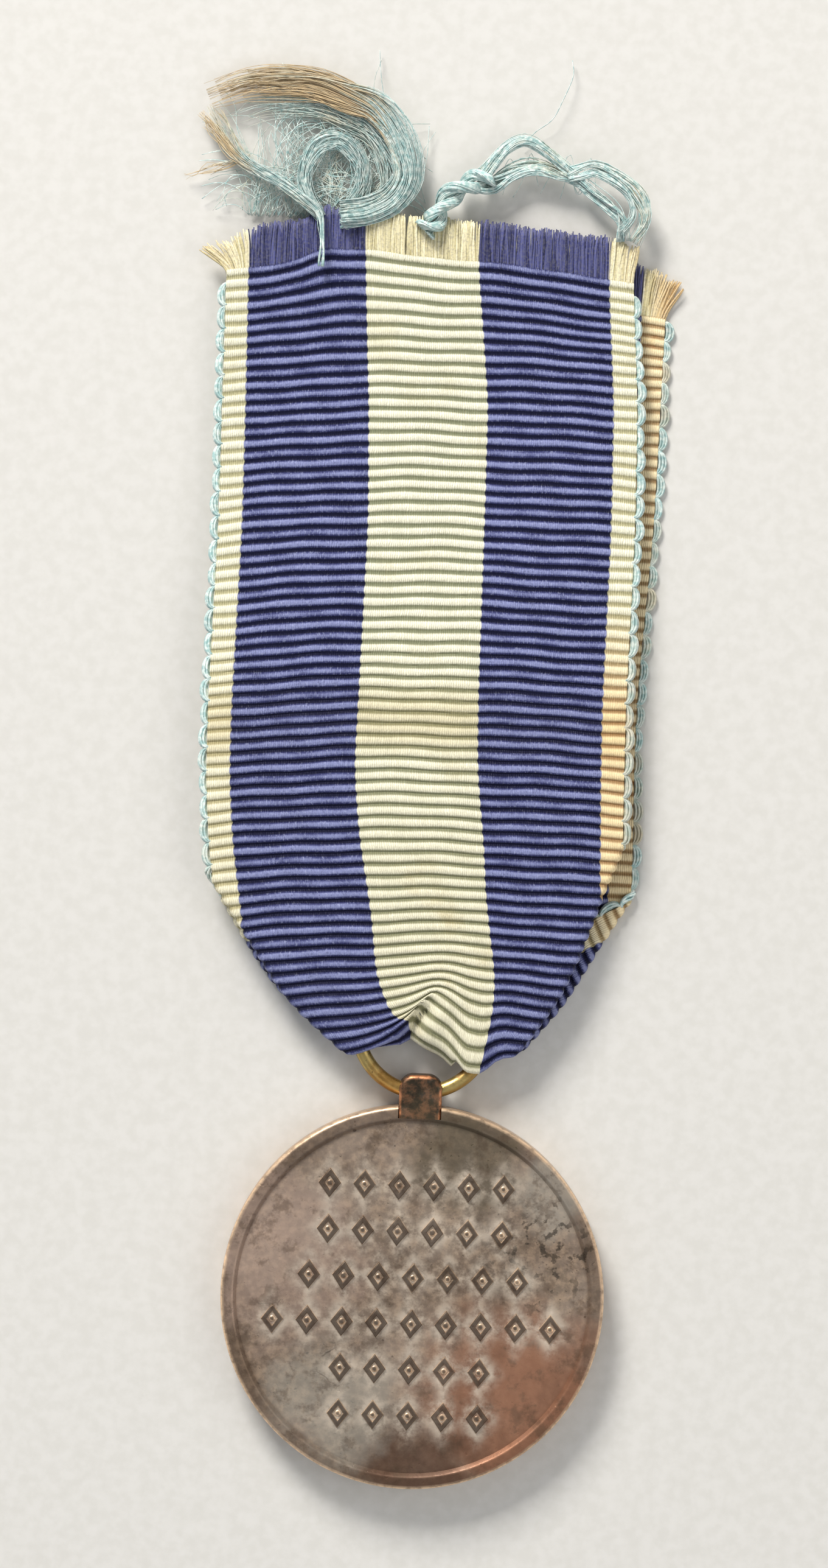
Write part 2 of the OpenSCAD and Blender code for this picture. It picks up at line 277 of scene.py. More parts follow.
class SharedEffects:
    """Node groups that several finishes use, each built once."""

    BORDER = 0.06  # half the width of the soft border between two stripes
    OVERHANG = 0.16  # how far a stripe's yarns spread over a rib's crest
    GAP = 0.1  # how far they draw in between two ribs

    def __init__(self) -> None:
        """Builds the groups."""
        self.mottle = self._mottle()
        self.strip = self._strip()
        self.stripes = self._stripes()
        self.yarn = self._yarn()

    @staticmethod
    def _mottle() -> bpy.types.NodeTree:
        """Cloudy patches: 0 and 1 with a soft border.

        Returns:
            The node group.
        """
        board, inner, outer = new_group("cloudy_patches", ("Vector", "Scale", "Low", "High"), ("Mask",))
        value = board.noise(inner.outputs["Vector"], inner.outputs["Scale"], 5.0, 0.6)
        board.feed(outer.inputs["Mask"], board.remap(value, inner.outputs["Low"], inner.outputs["High"]))
        return board.tree

    @staticmethod
    def _strip() -> bpy.types.NodeTree:
        """Place on the ribbon's strip, in millimetres, from the piece's own UV map.

        Returns:
            The node group.
        """
        board, _, outer = new_group("strip_place", (), ("Across", "Along"))
        uv = board.add("ShaderNodeUVMap", uv_map="strip")
        split = board.add("ShaderNodeSeparateXYZ", {0: uv.outputs[0]})
        for name, axis, size in (("Across", "X", UV_ACROSS), ("Along", "Y", UV_ALONG)):
            place = board.times(board.math("SUBTRACT", split.outputs[axis], 0.5), size)
            board.feed(outer.inputs[name], place)
        return board.tree

    @classmethod
    def _stripes(cls) -> bpy.types.NodeTree:
        """The stripes: dark stripe mask, edge stripe mask.

        Returns:
            The node group.
        """
        board, inner, outer = new_group("stripe_masks", ("Across", "Crest"), ("Dark", "Edge"))
        spread = board.times(inner.outputs["Crest"], cls.OVERHANG)
        away = board.math("SUBTRACT", board.math("ABSOLUTE", inner.outputs["Across"]), spread)
        past_centre, edge = (
            board.remap(away, border - cls.GAP - cls.BORDER, border - cls.GAP + cls.BORDER)
            for border in (CENTRE_HALF, EDGE_START)
        )
        board.feed(outer.inputs["Dark"], board.math("SUBTRACT", past_centre, edge, clamp=True))
        board.feed(outer.inputs["Edge"], edge)
        return board.tree

    @staticmethod
    def _yarn() -> bpy.types.NodeTree:
        """Fine warp yarns side by side, with the glints of their twist.

        Returns:
            The node group.
        """
        board, inner, outer = new_group("warp_yarns", ("Across", "Along", "Pitch"), ("Height", "Glint"))
        across, along = inner.outputs["Across"], inner.outputs["Along"]
        turns = board.math("DIVIDE", across, inner.outputs["Pitch"])
        drift = board.noise(board.joined(across, board.times(along, 0.5)), 1.3, 2.0)
        turns = board.math("ADD", turns, board.times(drift, 2.2))
        wave = board.math("SINE", board.times(turns, 2 * math.pi))
        glint = board.noise(board.joined(board.times(across, 5.5), board.times(along, 3.2)), 1.0, 2.0, 0.7)
        board.feed(outer.inputs["Height"], board.math("ADD", board.times(wave, 0.35), glint))
        board.feed(outer.inputs["Glint"], glint)
        return board.tree


# ---------------------------------------------------------------- sizes from the frame

FRONT_LOW, FRONT_HIGH = node_box("front_centre_stripe")
BACK_LOW, BACK_HIGH = node_box("back_centre_stripe")
STRIP_LOW, STRIP_HIGH = node_box("front_edge_stripe_left", "front_edge_stripe_right")
EDGE_LOW, EDGE_HIGH = node_box("front_edge_stripe_right")
RING_LOW, RING_HIGH = node_box("jump_ring")
DISC_LOW, DISC_HIGH = node_box("medal_disc")
LUG_LOW, LUG_HIGH = node_box("suspension_lug")

HALF_WIDTH = (STRIP_HIGH[0] - STRIP_LOW[0]) / 2
CENTRE_HALF = (FRONT_HIGH[0] - FRONT_LOW[0]) / 2
EDGE_START = HALF_WIDTH - (EDGE_HIGH - EDGE_LOW)[0]
FRONT_SHIFT = (FRONT_LOW[0] + FRONT_HIGH[0]) / 2
BACK_SHIFT = (BACK_LOW[0] + BACK_HIGH[0]) / 2
FRONT_TOP, BACK_TOP = float(FRONT_HIGH[1]), float(BACK_HIGH[1])
MID_Z = (RING_LOW[2] + RING_HIGH[2]) / 2
WIRE_R = (RING_HIGH[2] - RING_LOW[2]) / 2
RING_R = (RING_HIGH[0] - RING_LOW[0]) / 2 - WIRE_R
RING_Y = (RING_LOW[1] + RING_HIGH[1]) / 2
DISC_R = (DISC_HIGH[0] - DISC_LOW[0]) / 2
BEND_Y = joint_y("ribbon_bend")
HOLE_Y = joint_y("medal_swing")
RIB = 0.975  # distance between the ribs
STRIP_FOOT = 18.6  # height at which the strip's own length starts to count


# ---------------------------------------------------------------- mesh helpers


def make_only_active(piece: Piece) -> None:
    """Selects one piece and nothing else.

    Args:
        piece: The piece.
    """
    bpy.ops.object.select_all(action="DESELECT")
    piece.select_set(True)
    bpy.context.view_layer.objects.active = piece


def apply_place(piece: Piece) -> None:
    """Moves a piece's place, turn and scale into its mesh."""
    make_only_active(piece)
    bpy.ops.object.transform_apply(location=True, rotation=True, scale=True)


def added_piece(*scale: float) -> Piece:
    """Takes the piece that an operator has just added.

    Args:
        scale: A scale for it, if it needs one.

    Returns:
        The piece, with its place, turn and scale moved into its mesh.
    """
    piece = bpy.context.object
    if scale:
        piece.scale = scale
    apply_place(piece)
    return piece


def linked(name: str, data: bpy.types.ID) -> Piece:
    """Puts a new object with the given data into the scene.

    Args:
        name: The object's name.
        data: Its mesh, light or camera.

    Returns:
        The object.
    """
    item = bpy.data.objects.new(name, data)
    bpy.context.scene.collection.objects.link(item)
    return item


@contextmanager
def editing(piece: Piece) -> Iterator[None]:
    """Opens a piece in edit mode, with all of it selected, and closes it again.

    Args:
        piece: The piece.

    Yields:
        Nothing.
    """
    make_only_active(piece)
    bpy.ops.object.mode_set(mode="EDIT")
    bpy.ops.mesh.select_all(action="SELECT")
    yield
    bpy.ops.object.mode_set(mode="OBJECT")


def select_only(piece: Piece, kind: str, wanted: Callable[[object], bool]) -> None:
    """In edit mode, selects just the faces or edges that pass a test.

    Args:
        piece: The piece in edit mode.
        kind: FACE or EDGE.
        wanted: The test.
    """
    mesh = bmesh.from_edit_mesh(piece.data)
    bpy.ops.mesh.select_mode(type=kind)
    bpy.ops.mesh.select_all(action="DESELECT")
    for item in mesh.faces if kind == "FACE" else mesh.edges:
        if wanted(item):
            item.select_set(True)
    mesh.select_flush_mode()
    bmesh.update_edit_mesh(piece.data)


def round_edges(piece: Piece, wanted: Callable[[object], bool], width: float, segments: int) -> None:
    """In edit mode, rounds the edges that pass a test, this wide in millimetres."""
    select_only(piece, "EDGE", wanted)
    bpy.ops.mesh.bevel(offset=width * MM, segments=segments, affect="EDGES")


def inset(*steps: Pair) -> None:
    """In edit mode, insets the selected face once for each width and depth, in millimetres."""
    for width, depth in steps:
        bpy.ops.mesh.inset(thickness=width * MM, depth=depth * MM)


def extrude(x: float, y: float, z: float) -> None:
    """In edit mode, extrudes the selected face by a distance in millimetres."""
    bpy.ops.mesh.extrude_region_move(TRANSFORM_OT_translate={"value": (x * MM, y * MM, z * MM)})


def face_outward() -> None:
    """In edit mode, turns every face outwards."""
    bpy.ops.mesh.select_all(action="SELECT")
    bpy.ops.mesh.normals_make_consistent(inside=False)


def smooth(piece: Piece, degrees: float) -> None:
    """Shades a piece smooth, apart from edges sharper than an angle."""
    make_only_active(piece)
    bpy.ops.object.shade_smooth_by_angle(angle=math.radians(degrees))


def cut_away(piece: Piece, cutter: Piece) -> None:
    """Cuts a cutter's shape out of a piece and removes the cutter.

    Args:
        piece: The piece that stays.
        cutter: The shape that is taken out.
    """
    make_only_active(piece)
    cut = piece.modifiers.new("cut", "BOOLEAN")
    cut.object = cutter
    cut.operation = "DIFFERENCE"
    cut.solver = "EXACT"
    bpy.ops.object.modifier_apply(modifier=cut.name)
    bpy.data.objects.remove(cutter)


def join_pieces(pieces: list[Piece], name: str) -> Piece:
    """Joins pieces into the first one.

    Args:
        pieces: The pieces, the first of which stays.
        name: The joined piece's name.

    Returns:
        The joined piece.
    """
    make_only_active(pieces[0])
    for piece in pieces:
        piece.select_set(True)
    bpy.ops.object.join()
    pieces[0].name = pieces[0].data.name = name
    return pieces[0]


def keep_number(mesh: bpy.types.Mesh, name: str, values: np.ndarray) -> None:
    """Stores one number for each vertex, for a finish to read."""
    layer = mesh.attributes.get(name) or mesh.attributes.new(name, "FLOAT", "POINT")
    layer.data.foreach_set("value", np.asarray(values, np.float32))


def points_of(mesh: bpy.types.Mesh) -> np.ndarray:
    """Gives a mesh's vertices, in metres.

    Args:
        mesh: The mesh.

    Returns:
        The vertices, one row each.
    """
    flat = np.empty(len(mesh.vertices) * 3)
    mesh.vertices.foreach_get("co", flat)
    return flat.reshape(-1, 3)


def dress(piece: Piece, material: bpy.types.Material, slot: str, *nodes: str) -> None:
    """Gives a piece its material and reports it.

    Args:
        piece: The piece.
        material: The material.
        slot: Not used.
        nodes: The CAD nodes that the piece stands for.
    """
    piece.data.materials.clear()
    piece.data.materials.append(material)
    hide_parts(*nodes)
    LOG.info("%s: %d faces", piece.name, len(piece.data.polygons))


def strip_uv(u: np.ndarray, along: np.ndarray) -> np.ndarray:
    """Turns a place on the strip, in millimetres, into UV coordinates."""
    return np.stack([u / UV_ACROSS + 0.5, along / UV_ALONG + 0.5], axis=-1)


@dataclass
class MeshParts:
    """Points, faces, UV pairs and named numbers that become one piece."""

    name: str
    points: list[np.ndarray] = field(default_factory=list)
    faces: list[tuple[int, ...]] = field(default_factory=list)
    uvs: list[np.ndarray] = field(default_factory=list)
    numbers: dict[str, list[np.ndarray]] = field(default_factory=dict)
    count: int = 0

    def extend(self, points: np.ndarray, uvs: np.ndarray, **numbers: np.ndarray) -> None:
        """Adds points.

        Args:
            points: Places in millimetres, one row each.
            uvs: Their UV pairs.
            numbers: Their numbers for the finish.
        """
        self.points.append(points)
        self.uvs.append(uvs)
        for name, values in numbers.items():
            self.numbers.setdefault(name, []).append(values)
        self.count += len(points)

    def build(self) -> Piece:
        """Makes the piece, in metres.

        Returns:
            The piece.
        """
        mesh = bpy.data.meshes.new(self.name)
        mesh.from_pydata((np.concatenate(self.points) * MM).tolist(), [], self.faces)
        corners = np.empty(len(mesh.loops), np.int64)
        mesh.loops.foreach_get("vertex_index", corners)
        layer = mesh.uv_layers.new(name="strip")
        layer.data.foreach_set("uv", np.concatenate(self.uvs)[corners].astype(np.float32).ravel())
        for name, values in self.numbers.items():
            keep_number(mesh, name, np.concatenate(values))
        mesh.update()
        return linked(self.name, mesh)


@dataclass
class YarnBundle(MeshParts):
    """Thin yarns that become one mesh of narrow closed tubes."""

    sides: int = 4

    def add(
        self, line: np.ndarray, radius: object, tone: float, uv: np.ndarray | None = None, warmth: object = 0
    ) -> None:
        """Adds one yarn.

        Args:
            line: The yarn's points, in millimetres, one row each.
            radius: Its radius, one number or one for each point.
            tone: A number from 0 to 1 that sets its shade.
            uv: A UV pair for each point.
            warmth: How far its colour has turned from pale to tan, one number or one for each point.
        """
        n, s, base = len(line), self.sides, self.count
        tangent = np.gradient(line, axis=0)
        tangent /= np.linalg.norm(tangent, axis=1, keepdims=True) + 1e-12
        side = np.cross(tangent, UP)
        size = np.linalg.norm(side, axis=1, keepdims=True)
        side = np.where(size > 0.05, side / np.maximum(size, 1e-9), np.array([1.0, 0, 0]))
        lift = np.cross(side, tangent)
        angle = (2 * np.pi * np.arange(s) / s)[None, :, None]
        radii = np.broadcast_to(np.asarray(radius, float), (n,))[:, None, None]
        ring = np.cos(angle) * side[:, None] + np.sin(angle) * lift[:, None]
        for start in range(base, base + (n - 1) * s, s):
            for a, b in zip(range(start, start + s), [*range(start + 1, start + s), start]):
                self.faces.append((a, a + s, b + s, b))
        self.faces.append(tuple(range(base, base + s)))
        self.faces.append(tuple(range(base + n * s - 1, base + (n - 1) * s - 1, -1)))
        run = np.append(0, np.cumsum(np.linalg.norm(np.diff(line, axis=0), axis=1)))
        pairs = strip_uv(np.full(n, 20 + 10 * tone), run) if uv is None else uv
        warmths = np.repeat(np.broadcast_to(np.asarray(warmth, float), (n,)), s)
        points = (line[:, None] + radii * ring).reshape(-1, 3)
        self.extend(points, np.repeat(pairs, s, axis=0), tone=np.full(n * s, tone), warmth=warmths)

    def build(self) -> Piece:
        """Makes the piece, shaded smooth.

        Returns:
            The piece.
        """
        piece = super().build()
        piece.data.polygons.foreach_set("use_smooth", np.ones(len(piece.data.polygons), bool))
        return piece


# ---------------------------------------------------------------- the ribbon's shape


class NamedSide(Enum):
    """A side whose name is also a word in its pieces' names."""

    @property
    def word(self) -> str:
        """Gives the side's name in small letters."""
        return self.name.lower()


class LayerSide(NamedSide):
    """Which of the ribbon's two layers: the shown one or the one that lies on the table."""

    FRONT = 1
    BACK = -1


class Selvedge(NamedSide):
    """The ribbon's left or right woven edge."""

    LEFT = -1
    RIGHT = 1


@dataclass(frozen=True)
class CornerFold:
    """A crease across a lower corner, drawn on the flat strip as places across and up."""

    outer: Pair
    inner: Pair
    roll: float = 0.24

    def direction(self) -> np.ndarray:
        """Gives the direction square to the crease, out over the corner.

        Returns:
            A vector one millimetre long.
        """
        along = np.subtract(self.inner, self.outer) / math.dist(self.inner, self.outer)
        side = np.array([along[1], -along[0]])
        return side if side[0] * self.outer[0] > 0 else -side

    def outline(self, height: np.ndarray) -> np.ndarray:
        """Gives how far out the folded ribbon reaches at a height, without its sign."""
        places = np.abs([self.inner[0], self.outer[0]])
        return np.interp(height, [self.inner[1], self.outer[1]], places)


HEIGHTS = (19.9, 21, 22.5, 24.5, 27, 31, 34.4, 38, 44, 50, 65, 75, 86.6)
FRONT_DRIFT = (
    (5.4, 4.9, 3.8, 2.8, 2.1, 1.7, 1.2, 0.6, 0.1, 0, 0.2, 0.1, 0),
    (5.6, 5.15, 4.05, 3.05, 2.2, 1.8, 1.2, 0.4, -0.3, -0.2, 0, -0.4, -1.2),
    (1.2, 1.9, 2.3, 2.6, 2.6, 1.9, 1.45, 1.2, 0.4, 0.2, 0.1, 0, -1.35),
    (0.1, 0.4, 0.7, 1.1, 1.2, 0.8, 0.3, 0, -0.1, -0.2, 0, -0.2, -0.95),
)
BACK_RIGHT_DRIFT = ((34, -0.7), (38, -0.65), (45, -0.9), (52, -0.85), (65, -0.05), (84, 0.2))
PLEAT_DEPTH = ((19.3, 2.4), (20.2, 2.8), (21.6, 3.4), (23.2, 2.3), (25, 1.3), (28, 0.5), (33, 0))
PLEAT_PLACE = ((19.5, -1.2), (21, -0.9), (23.5, 0.9), (30, 1.1))


class Drape:
    """How the lower ribbon gathers towards the ring: sideways, lengthwise and in depth."""

    SOFTENING = ((-1.1, 0.25), (0, 0.5), (1.1, 0.25))  # steps across and their weights
    BOW_AT = 3.0  # place across at which the ribs bow highest
    BOW = (-0.0035, -0.0012)  # how fast they fall to the left and to the right of it
    PLEAT_FADE = (2.3, 2.9)  # how far the pleat reaches to the left and to the right
    DROOP = 2.2  # how far the front edge hangs down beside the lug
    DROOP_AT = 4.3

    def __init__(self) -> None:
        """Rounds the given lines."""
        self.front = [SmoothCurve(list(zip(HEIGHTS, column)), 1.2) for column in FRONT_DRIFT]
        self.back_right = SmoothCurve(list(BACK_RIGHT_DRIFT), 2.5)
        self.pleat_depth = SmoothCurve(list(PLEAT_DEPTH), 1.0)
        self.pleat_place = SmoothCurve(list(PLEAT_PLACE), 0.6)

    def sideways(self, layer: "RibbonLayer", across: np.ndarray, height: np.ndarray) -> np.ndarray:
        """Gives the sideways drift at places on a layer's folded strip."""
        return sum(weight * self._columns(layer, across + step, height) for step, weight in self.SOFTENING)

    def _columns(self, layer: "RibbonLayer", across: np.ndarray, height: np.ndarray) -> np.ndarray:
        """Reads the drift between the four lines that run up the layer.

        Args:
            layer: The layer that is placed.
            across, height: Places on the folded strip.

        Returns:
            The drift at each place.
        """
        left, right = (fold.outline(height) for fold in layer.folds)
        places = [-left, np.full_like(height, -CENTRE_HALF), np.full_like(height, CENTRE_HALF), right]
        front = [curve.at(height) for curve in self.front]
        if layer.side is LayerSide.BACK:
            loose = smoothstep(height, 22.5, 31)
            own = [0 * height, 0 * height, 0 * height, self.back_right.at(height)]
            met = FRONT_SHIFT - BACK_SHIFT
            front = [(1 - loose) * (f + met) + loose * o for f, o in zip(front, own)]
        result = front[0].copy()
        for i in range(3):
            share = np.clip((across - places[i]) / (places[i + 1] - places[i]), 0, 1)
            result = np.where(across > places[i], front[i] + share * (front[i + 1] - front[i]), result)
        return result

    def lengthwise(
        self, layer: "RibbonLayer", across: np.ndarray, x: np.ndarray, height: np.ndarray
    ) -> np.ndarray:
        """Gives the shift along the ribbon: its skew, the pleat at the ring and the droop beside it.

        Args:
            layer: The layer that is placed.
            across: Places across the strip.
            x: Places across the finished ribbon.
            height: Heights on the folded strip.

        Returns:
            The shift at each place.
        """
        from_bow = across - self.BOW_AT
        skew = np.where(from_bow < 0, *self.BOW) * from_bow**2
        slack = -0.005 * np.maximum(from_bow, 0) ** 2 * smoothstep(height, 76, 86)
        slack += 0.9 * bell(across + 5, 5) * smoothstep(height, 78, 87)
        slack += 0.55 * bell(across + 8.6, 1.7) * smoothstep(height, 81.5, 87)
        slack += 0.06 * np.sin(across * 0.45 + height * 0.21) + 0.035 * np.sin(across * 1.1 - height * 0.5)
        off = x - self.pleat_place.at(height)
        bluntness = 0.12 + 1.7 * smoothstep(height, 22.5, 26)
        away = np.sqrt(off**2 + bluntness**2) - bluntness
        pleat = self.pleat_depth.at(height) * np.exp(-away / np.where(off < 0, *self.PLEAT_FADE))
        droop = -self.DROOP * bell(np.maximum(np.abs(x - self.DROOP_AT) - 0.4, 0), 1.3)
        droop = droop * np.exp(-np.maximum(height - 19.5, 0) / 3)
        if layer.side is LayerSide.BACK:
            droop = droop * (1 - smoothstep(x, 2.0, 3.2))
        return skew + slack + pleat + droop

    def relief(self, x: np.ndarray, y: np.ndarray) -> np.ndarray:
        """Gives the shown layer's rise or fall from its flat level.

        Args:
            x, y: Places on the finished ribbon.

        Returns:
            The rise, negative where the cloth sinks.
        """
        off = x - self.pleat_place.at(y - 1.5)
        crease = -0.95 * bell(off, 0.55) * (1 - smoothstep(y, 23.2, 25.4))
        shoulder = 0.25 * bell(off - 1.5, 1.2) * (1 - smoothstep(y, 23, 28))
        shoulder += 0.22 * bell(x + 4, 1.6) * (1 - smoothstep(y, 22, 29))
        waves = 0.13 * np.sin(x * 0.33 + 1.3) * np.sin(y * 0.16 + 0.4)
        waves += 0.07 * np.sin(x * 0.71 + y * 0.11 + 2.0)
        sink = -1.35 * smoothstep(y, 40, 80)
        return crease + shoulder + waves + sink


@dataclass
class RibbonLayer:
    """One layer of the ribbon, from the turn through the ring up to its frayed end."""

    side: LayerSide
    shift: float
    top: float
    folds: tuple[CornerFold, CornerFold]
    drape: Drape
    fray: float  # length of the loose ends
    flare: Pair  # how far the left and right ends lean outwards
    turn_radius: float = 1.307  # radius of the cloth's turn round the wire
    turn_length: float = 2.058  # and the length that it takes up
    lobe_radius: float = 0.32  # the same for the tight folds beside the ring
    lobe_turn: float = 1.0
    turn_from: float = -6.4  # the wide turn's left and right ends
    turn_to: float = 1.1

    @property
    def woven(self) -> float:
        """Length of the weave from the middle of the turn to the frayed end."""
        return self.top - STRIP_FOOT

    def folded(self, across: np.ndarray, along: np.ndarray, lift: np.ndarray) -> list[np.ndarray]:
        """Folds the corners in.

        Args:
            across, along: Places on the flat strip.
            lift: Height over the strip's middle surface, towards the layer's outer face.

        Returns:
            Place across, height, and depth under the layer's middle surface.
        """
        x, y, depth = across + 0.0, along + STRIP_FOOT, -lift
        for fold in self.folds:
            nx, ny = fold.direction()
            past = (across - fold.outer[0]) * nx + (along + STRIP_FOOT - fold.outer[1]) * ny
            out = past > 0
            turn = np.clip(past / fold.roll, 0, math.pi)
            reach = (fold.roll + lift) * np.sin(turn)
            reach = np.where(past > math.pi * fold.roll, math.pi * fold.roll - past, reach)
            x = np.where(out, x + nx * (reach - past), x)
            y = np.where(out, y + ny * (reach - past), y)
            depth = np.where(out, fold.roll - (fold.roll + lift) * np.cos(turn), depth)
        return [x, y, depth]

    def place(self, across: object, along: object, lift: object) -> np.ndarray:
        """Carries places on the flat strip to where the folded ribbon has them.

        Args:
            across, along: Places on the flat strip, from its middle line and the middle of the turn.
            lift: Height over the strip's middle surface, towards the layer's outer face.

        Returns:
            One row of x, y and z for each place, in millimetres.
        """
        across, along, lift = (a.astype(float) for a in np.broadcast_arrays(across, along, lift))
        x, height, depth = self.folded(across, along, lift)
        start = STRIP_FOOT + self.turn_length
        middle = smoothstep(x, self.turn_from - 0.7, self.turn_from + 0.3)
        middle = middle * (1 - smoothstep(x, self.turn_to - 0.3, self.turn_to + 0.7))
        radius = self.lobe_radius + (self.turn_radius - self.lobe_radius) * middle
        length = self.lobe_turn + (self.turn_length - self.lobe_turn) * middle
        past = np.maximum(start - height, 0) * length / self.turn_length
        turn = np.minimum(past / radius, math.pi)
        bent = past > 0
        height = np.where(bent, start - (radius - depth) * np.sin(turn), height)
        depth = np.where(bent, radius - (radius - depth) * np.cos(turn), depth)
        final_x = x + self.drape.sideways(self, x, height) + self.shift
        final_y = height + self.drape.lengthwise(self, x, final_x, height)
        level = self.turn_radius - depth
        share = np.clip(level / self.turn_radius, 0, 1)
        if self.side is LayerSide.FRONT:
            level = level + share * self.drape.relief(final_x, final_y)
        return np.stack([final_x, final_y, MID_Z + self.side.value * level], axis=-1)

    def uv(self, across: object, along: object) -> np.ndarray:
        """Gives the UV pair of a place; the two layers run on from each other."""
        return strip_uv(np.asarray(across, float), self.side.value * np.asarray(along, float))

    def is_cut_away(self, across: np.ndarray, along: np.ndarray) -> np.ndarray:
        """Tells where a turned-in corner would reach into the turn, so it is left out."""
        x, height, depth = self.folded(across, along, np.zeros_like(across))
        return (depth > 0.3) & (height < STRIP_FOOT + self.turn_length + 0.25)


class WovenStrip:
    """The ribbed weave of both layers, as one closed cloth that runs through the ring."""

    COLUMNS = (4, 11, 18, 11, 4)  # cells across each stripe
    ROWS_A_RIB = 6
    VALLEY = 0.04
    CREST = 0.19

    def __init__(self, layers: list[RibbonLayer]) -> None:
        """Keeps the layers."""
        self.layers = layers

    def half_thickness(self, across: np.ndarray, along: np.ndarray) -> np.ndarray:
        """Gives half the cloth's thickness: round ribs with tight valleys between them.

        Args:
            across, along: Places on the flat strip.

        Returns:
            Half the thickness at each place.
        """
        phase = along / RIB + 1e-6
        profile = np.sin(math.pi * (phase - np.floor(phase))) ** 0.8
        plump = 1 + 0.07 * np.sin(np.floor(phase) * 2.7) + 0.05 * np.sin(across * 1.7 + np.floor(phase))
        return self.VALLEY + self.CREST * plump * profile

    def _flat_grid(self, layer: RibbonLayer) -> bmesh.types.BMesh:
        """Makes a layer's flat grid, with lines where its corners crease.

        Args:
            layer: The layer.

        Returns:
            The grid, in millimetres.
        """
        widths = [(EDGE_START, HALF_WIDTH), (CENTRE_HALF, EDGE_START)]
        spans = [(-b, -a) for a, b in widths] + [(-CENTRE_HALF, CENTRE_HALF)] + widths[::-1]
        places = [-HALF_WIDTH]
        for (low, high), count in zip(spans, self.COLUMNS):
            places += list(np.linspace(low, high, count + 1)[1:])
        rows = round(layer.woven / RIB * self.ROWS_A_RIB)
        across, along = np.meshgrid(places, np.linspace(0, layer.woven, rows + 1))
        points = np.stack([across, along, 0 * across], axis=-1).reshape(-1, 3)
        wide = len(places)
        first = (np.arange(rows)[:, None] * wide + np.arange(wide - 1)[None, :]).ravel()
        faces = np.stack([first, first + 1, first + wide + 1, first + wide], axis=1)
        mesh = bpy.data.meshes.new("flat_grid")
        mesh.from_pydata(points.tolist(), [], faces.tolist())
        grid = bmesh.new()
        grid.from_mesh(mesh)
        bpy.data.meshes.remove(mesh)
        for fold in layer.folds:
            nx, ny = fold.direction()
            for step in range(5):
                away = step / 4 * math.pi * fold.roll
                point = (fold.outer[0] + nx * away, fold.outer[1] - STRIP_FOOT + ny * away, 0)
                everything = grid.verts[:] + grid.edges[:] + grid.faces[:]
                bmesh.ops.bisect_plane(
                    grid, geom=everything, dist=0.012, plane_co=point, plane_no=(nx, ny, 0)
                )
        middles = np.array([face.calc_center_median()[:2] for face in grid.faces])
        gone = layer.is_cut_away(middles[:, 0], middles[:, 1])
        doomed = [face for face, cut in zip(grid.faces[:], gone) if cut]
        bmesh.ops.delete(grid, geom=doomed, context="FACES")
        return grid

    def build(self) -> Piece:
        """Makes the cloth.

        Returns:
            The ribbon as one piece, its middle turned round the ring.
        """
        parts = MeshParts("woven_ribbon")
        for layer in self.layers:
            grid = self._flat_grid(layer)
            grid.verts.index_update()
            across, along = np.array([vertex.co[:2] for vertex in grid.verts]).T
            half = self.half_thickness(across, along)
            first, size, way = parts.count, len(across), layer.side.value
            for lift in (half, -half):
                crest = (half - self.VALLEY) / self.CREST
                parts.extend(layer.place(across, along, lift), layer.uv(across, along), crest=crest)
            for face in grid.faces:
                ring = tuple(first + vertex.index for vertex in face.verts)[::way]
                parts.faces += [ring, tuple(index + size for index in reversed(ring))]
            for edge in grid.edges:
                if len(edge.link_faces) == 1:
                    corner = next(loop for loop in edge.link_faces[0].loops if loop.edge == edge)
                    a, b = first + corner.vert.index, first + corner.link_loop_next.vert.index
                    parts.faces.append((b, a, a + size, b + size)[::way])
            grid.free()
        piece = parts.build()
        with editing(piece):
            bpy.ops.mesh.remove_doubles(threshold=0.01 * MM)
        smooth(piece, 48)
        return piece


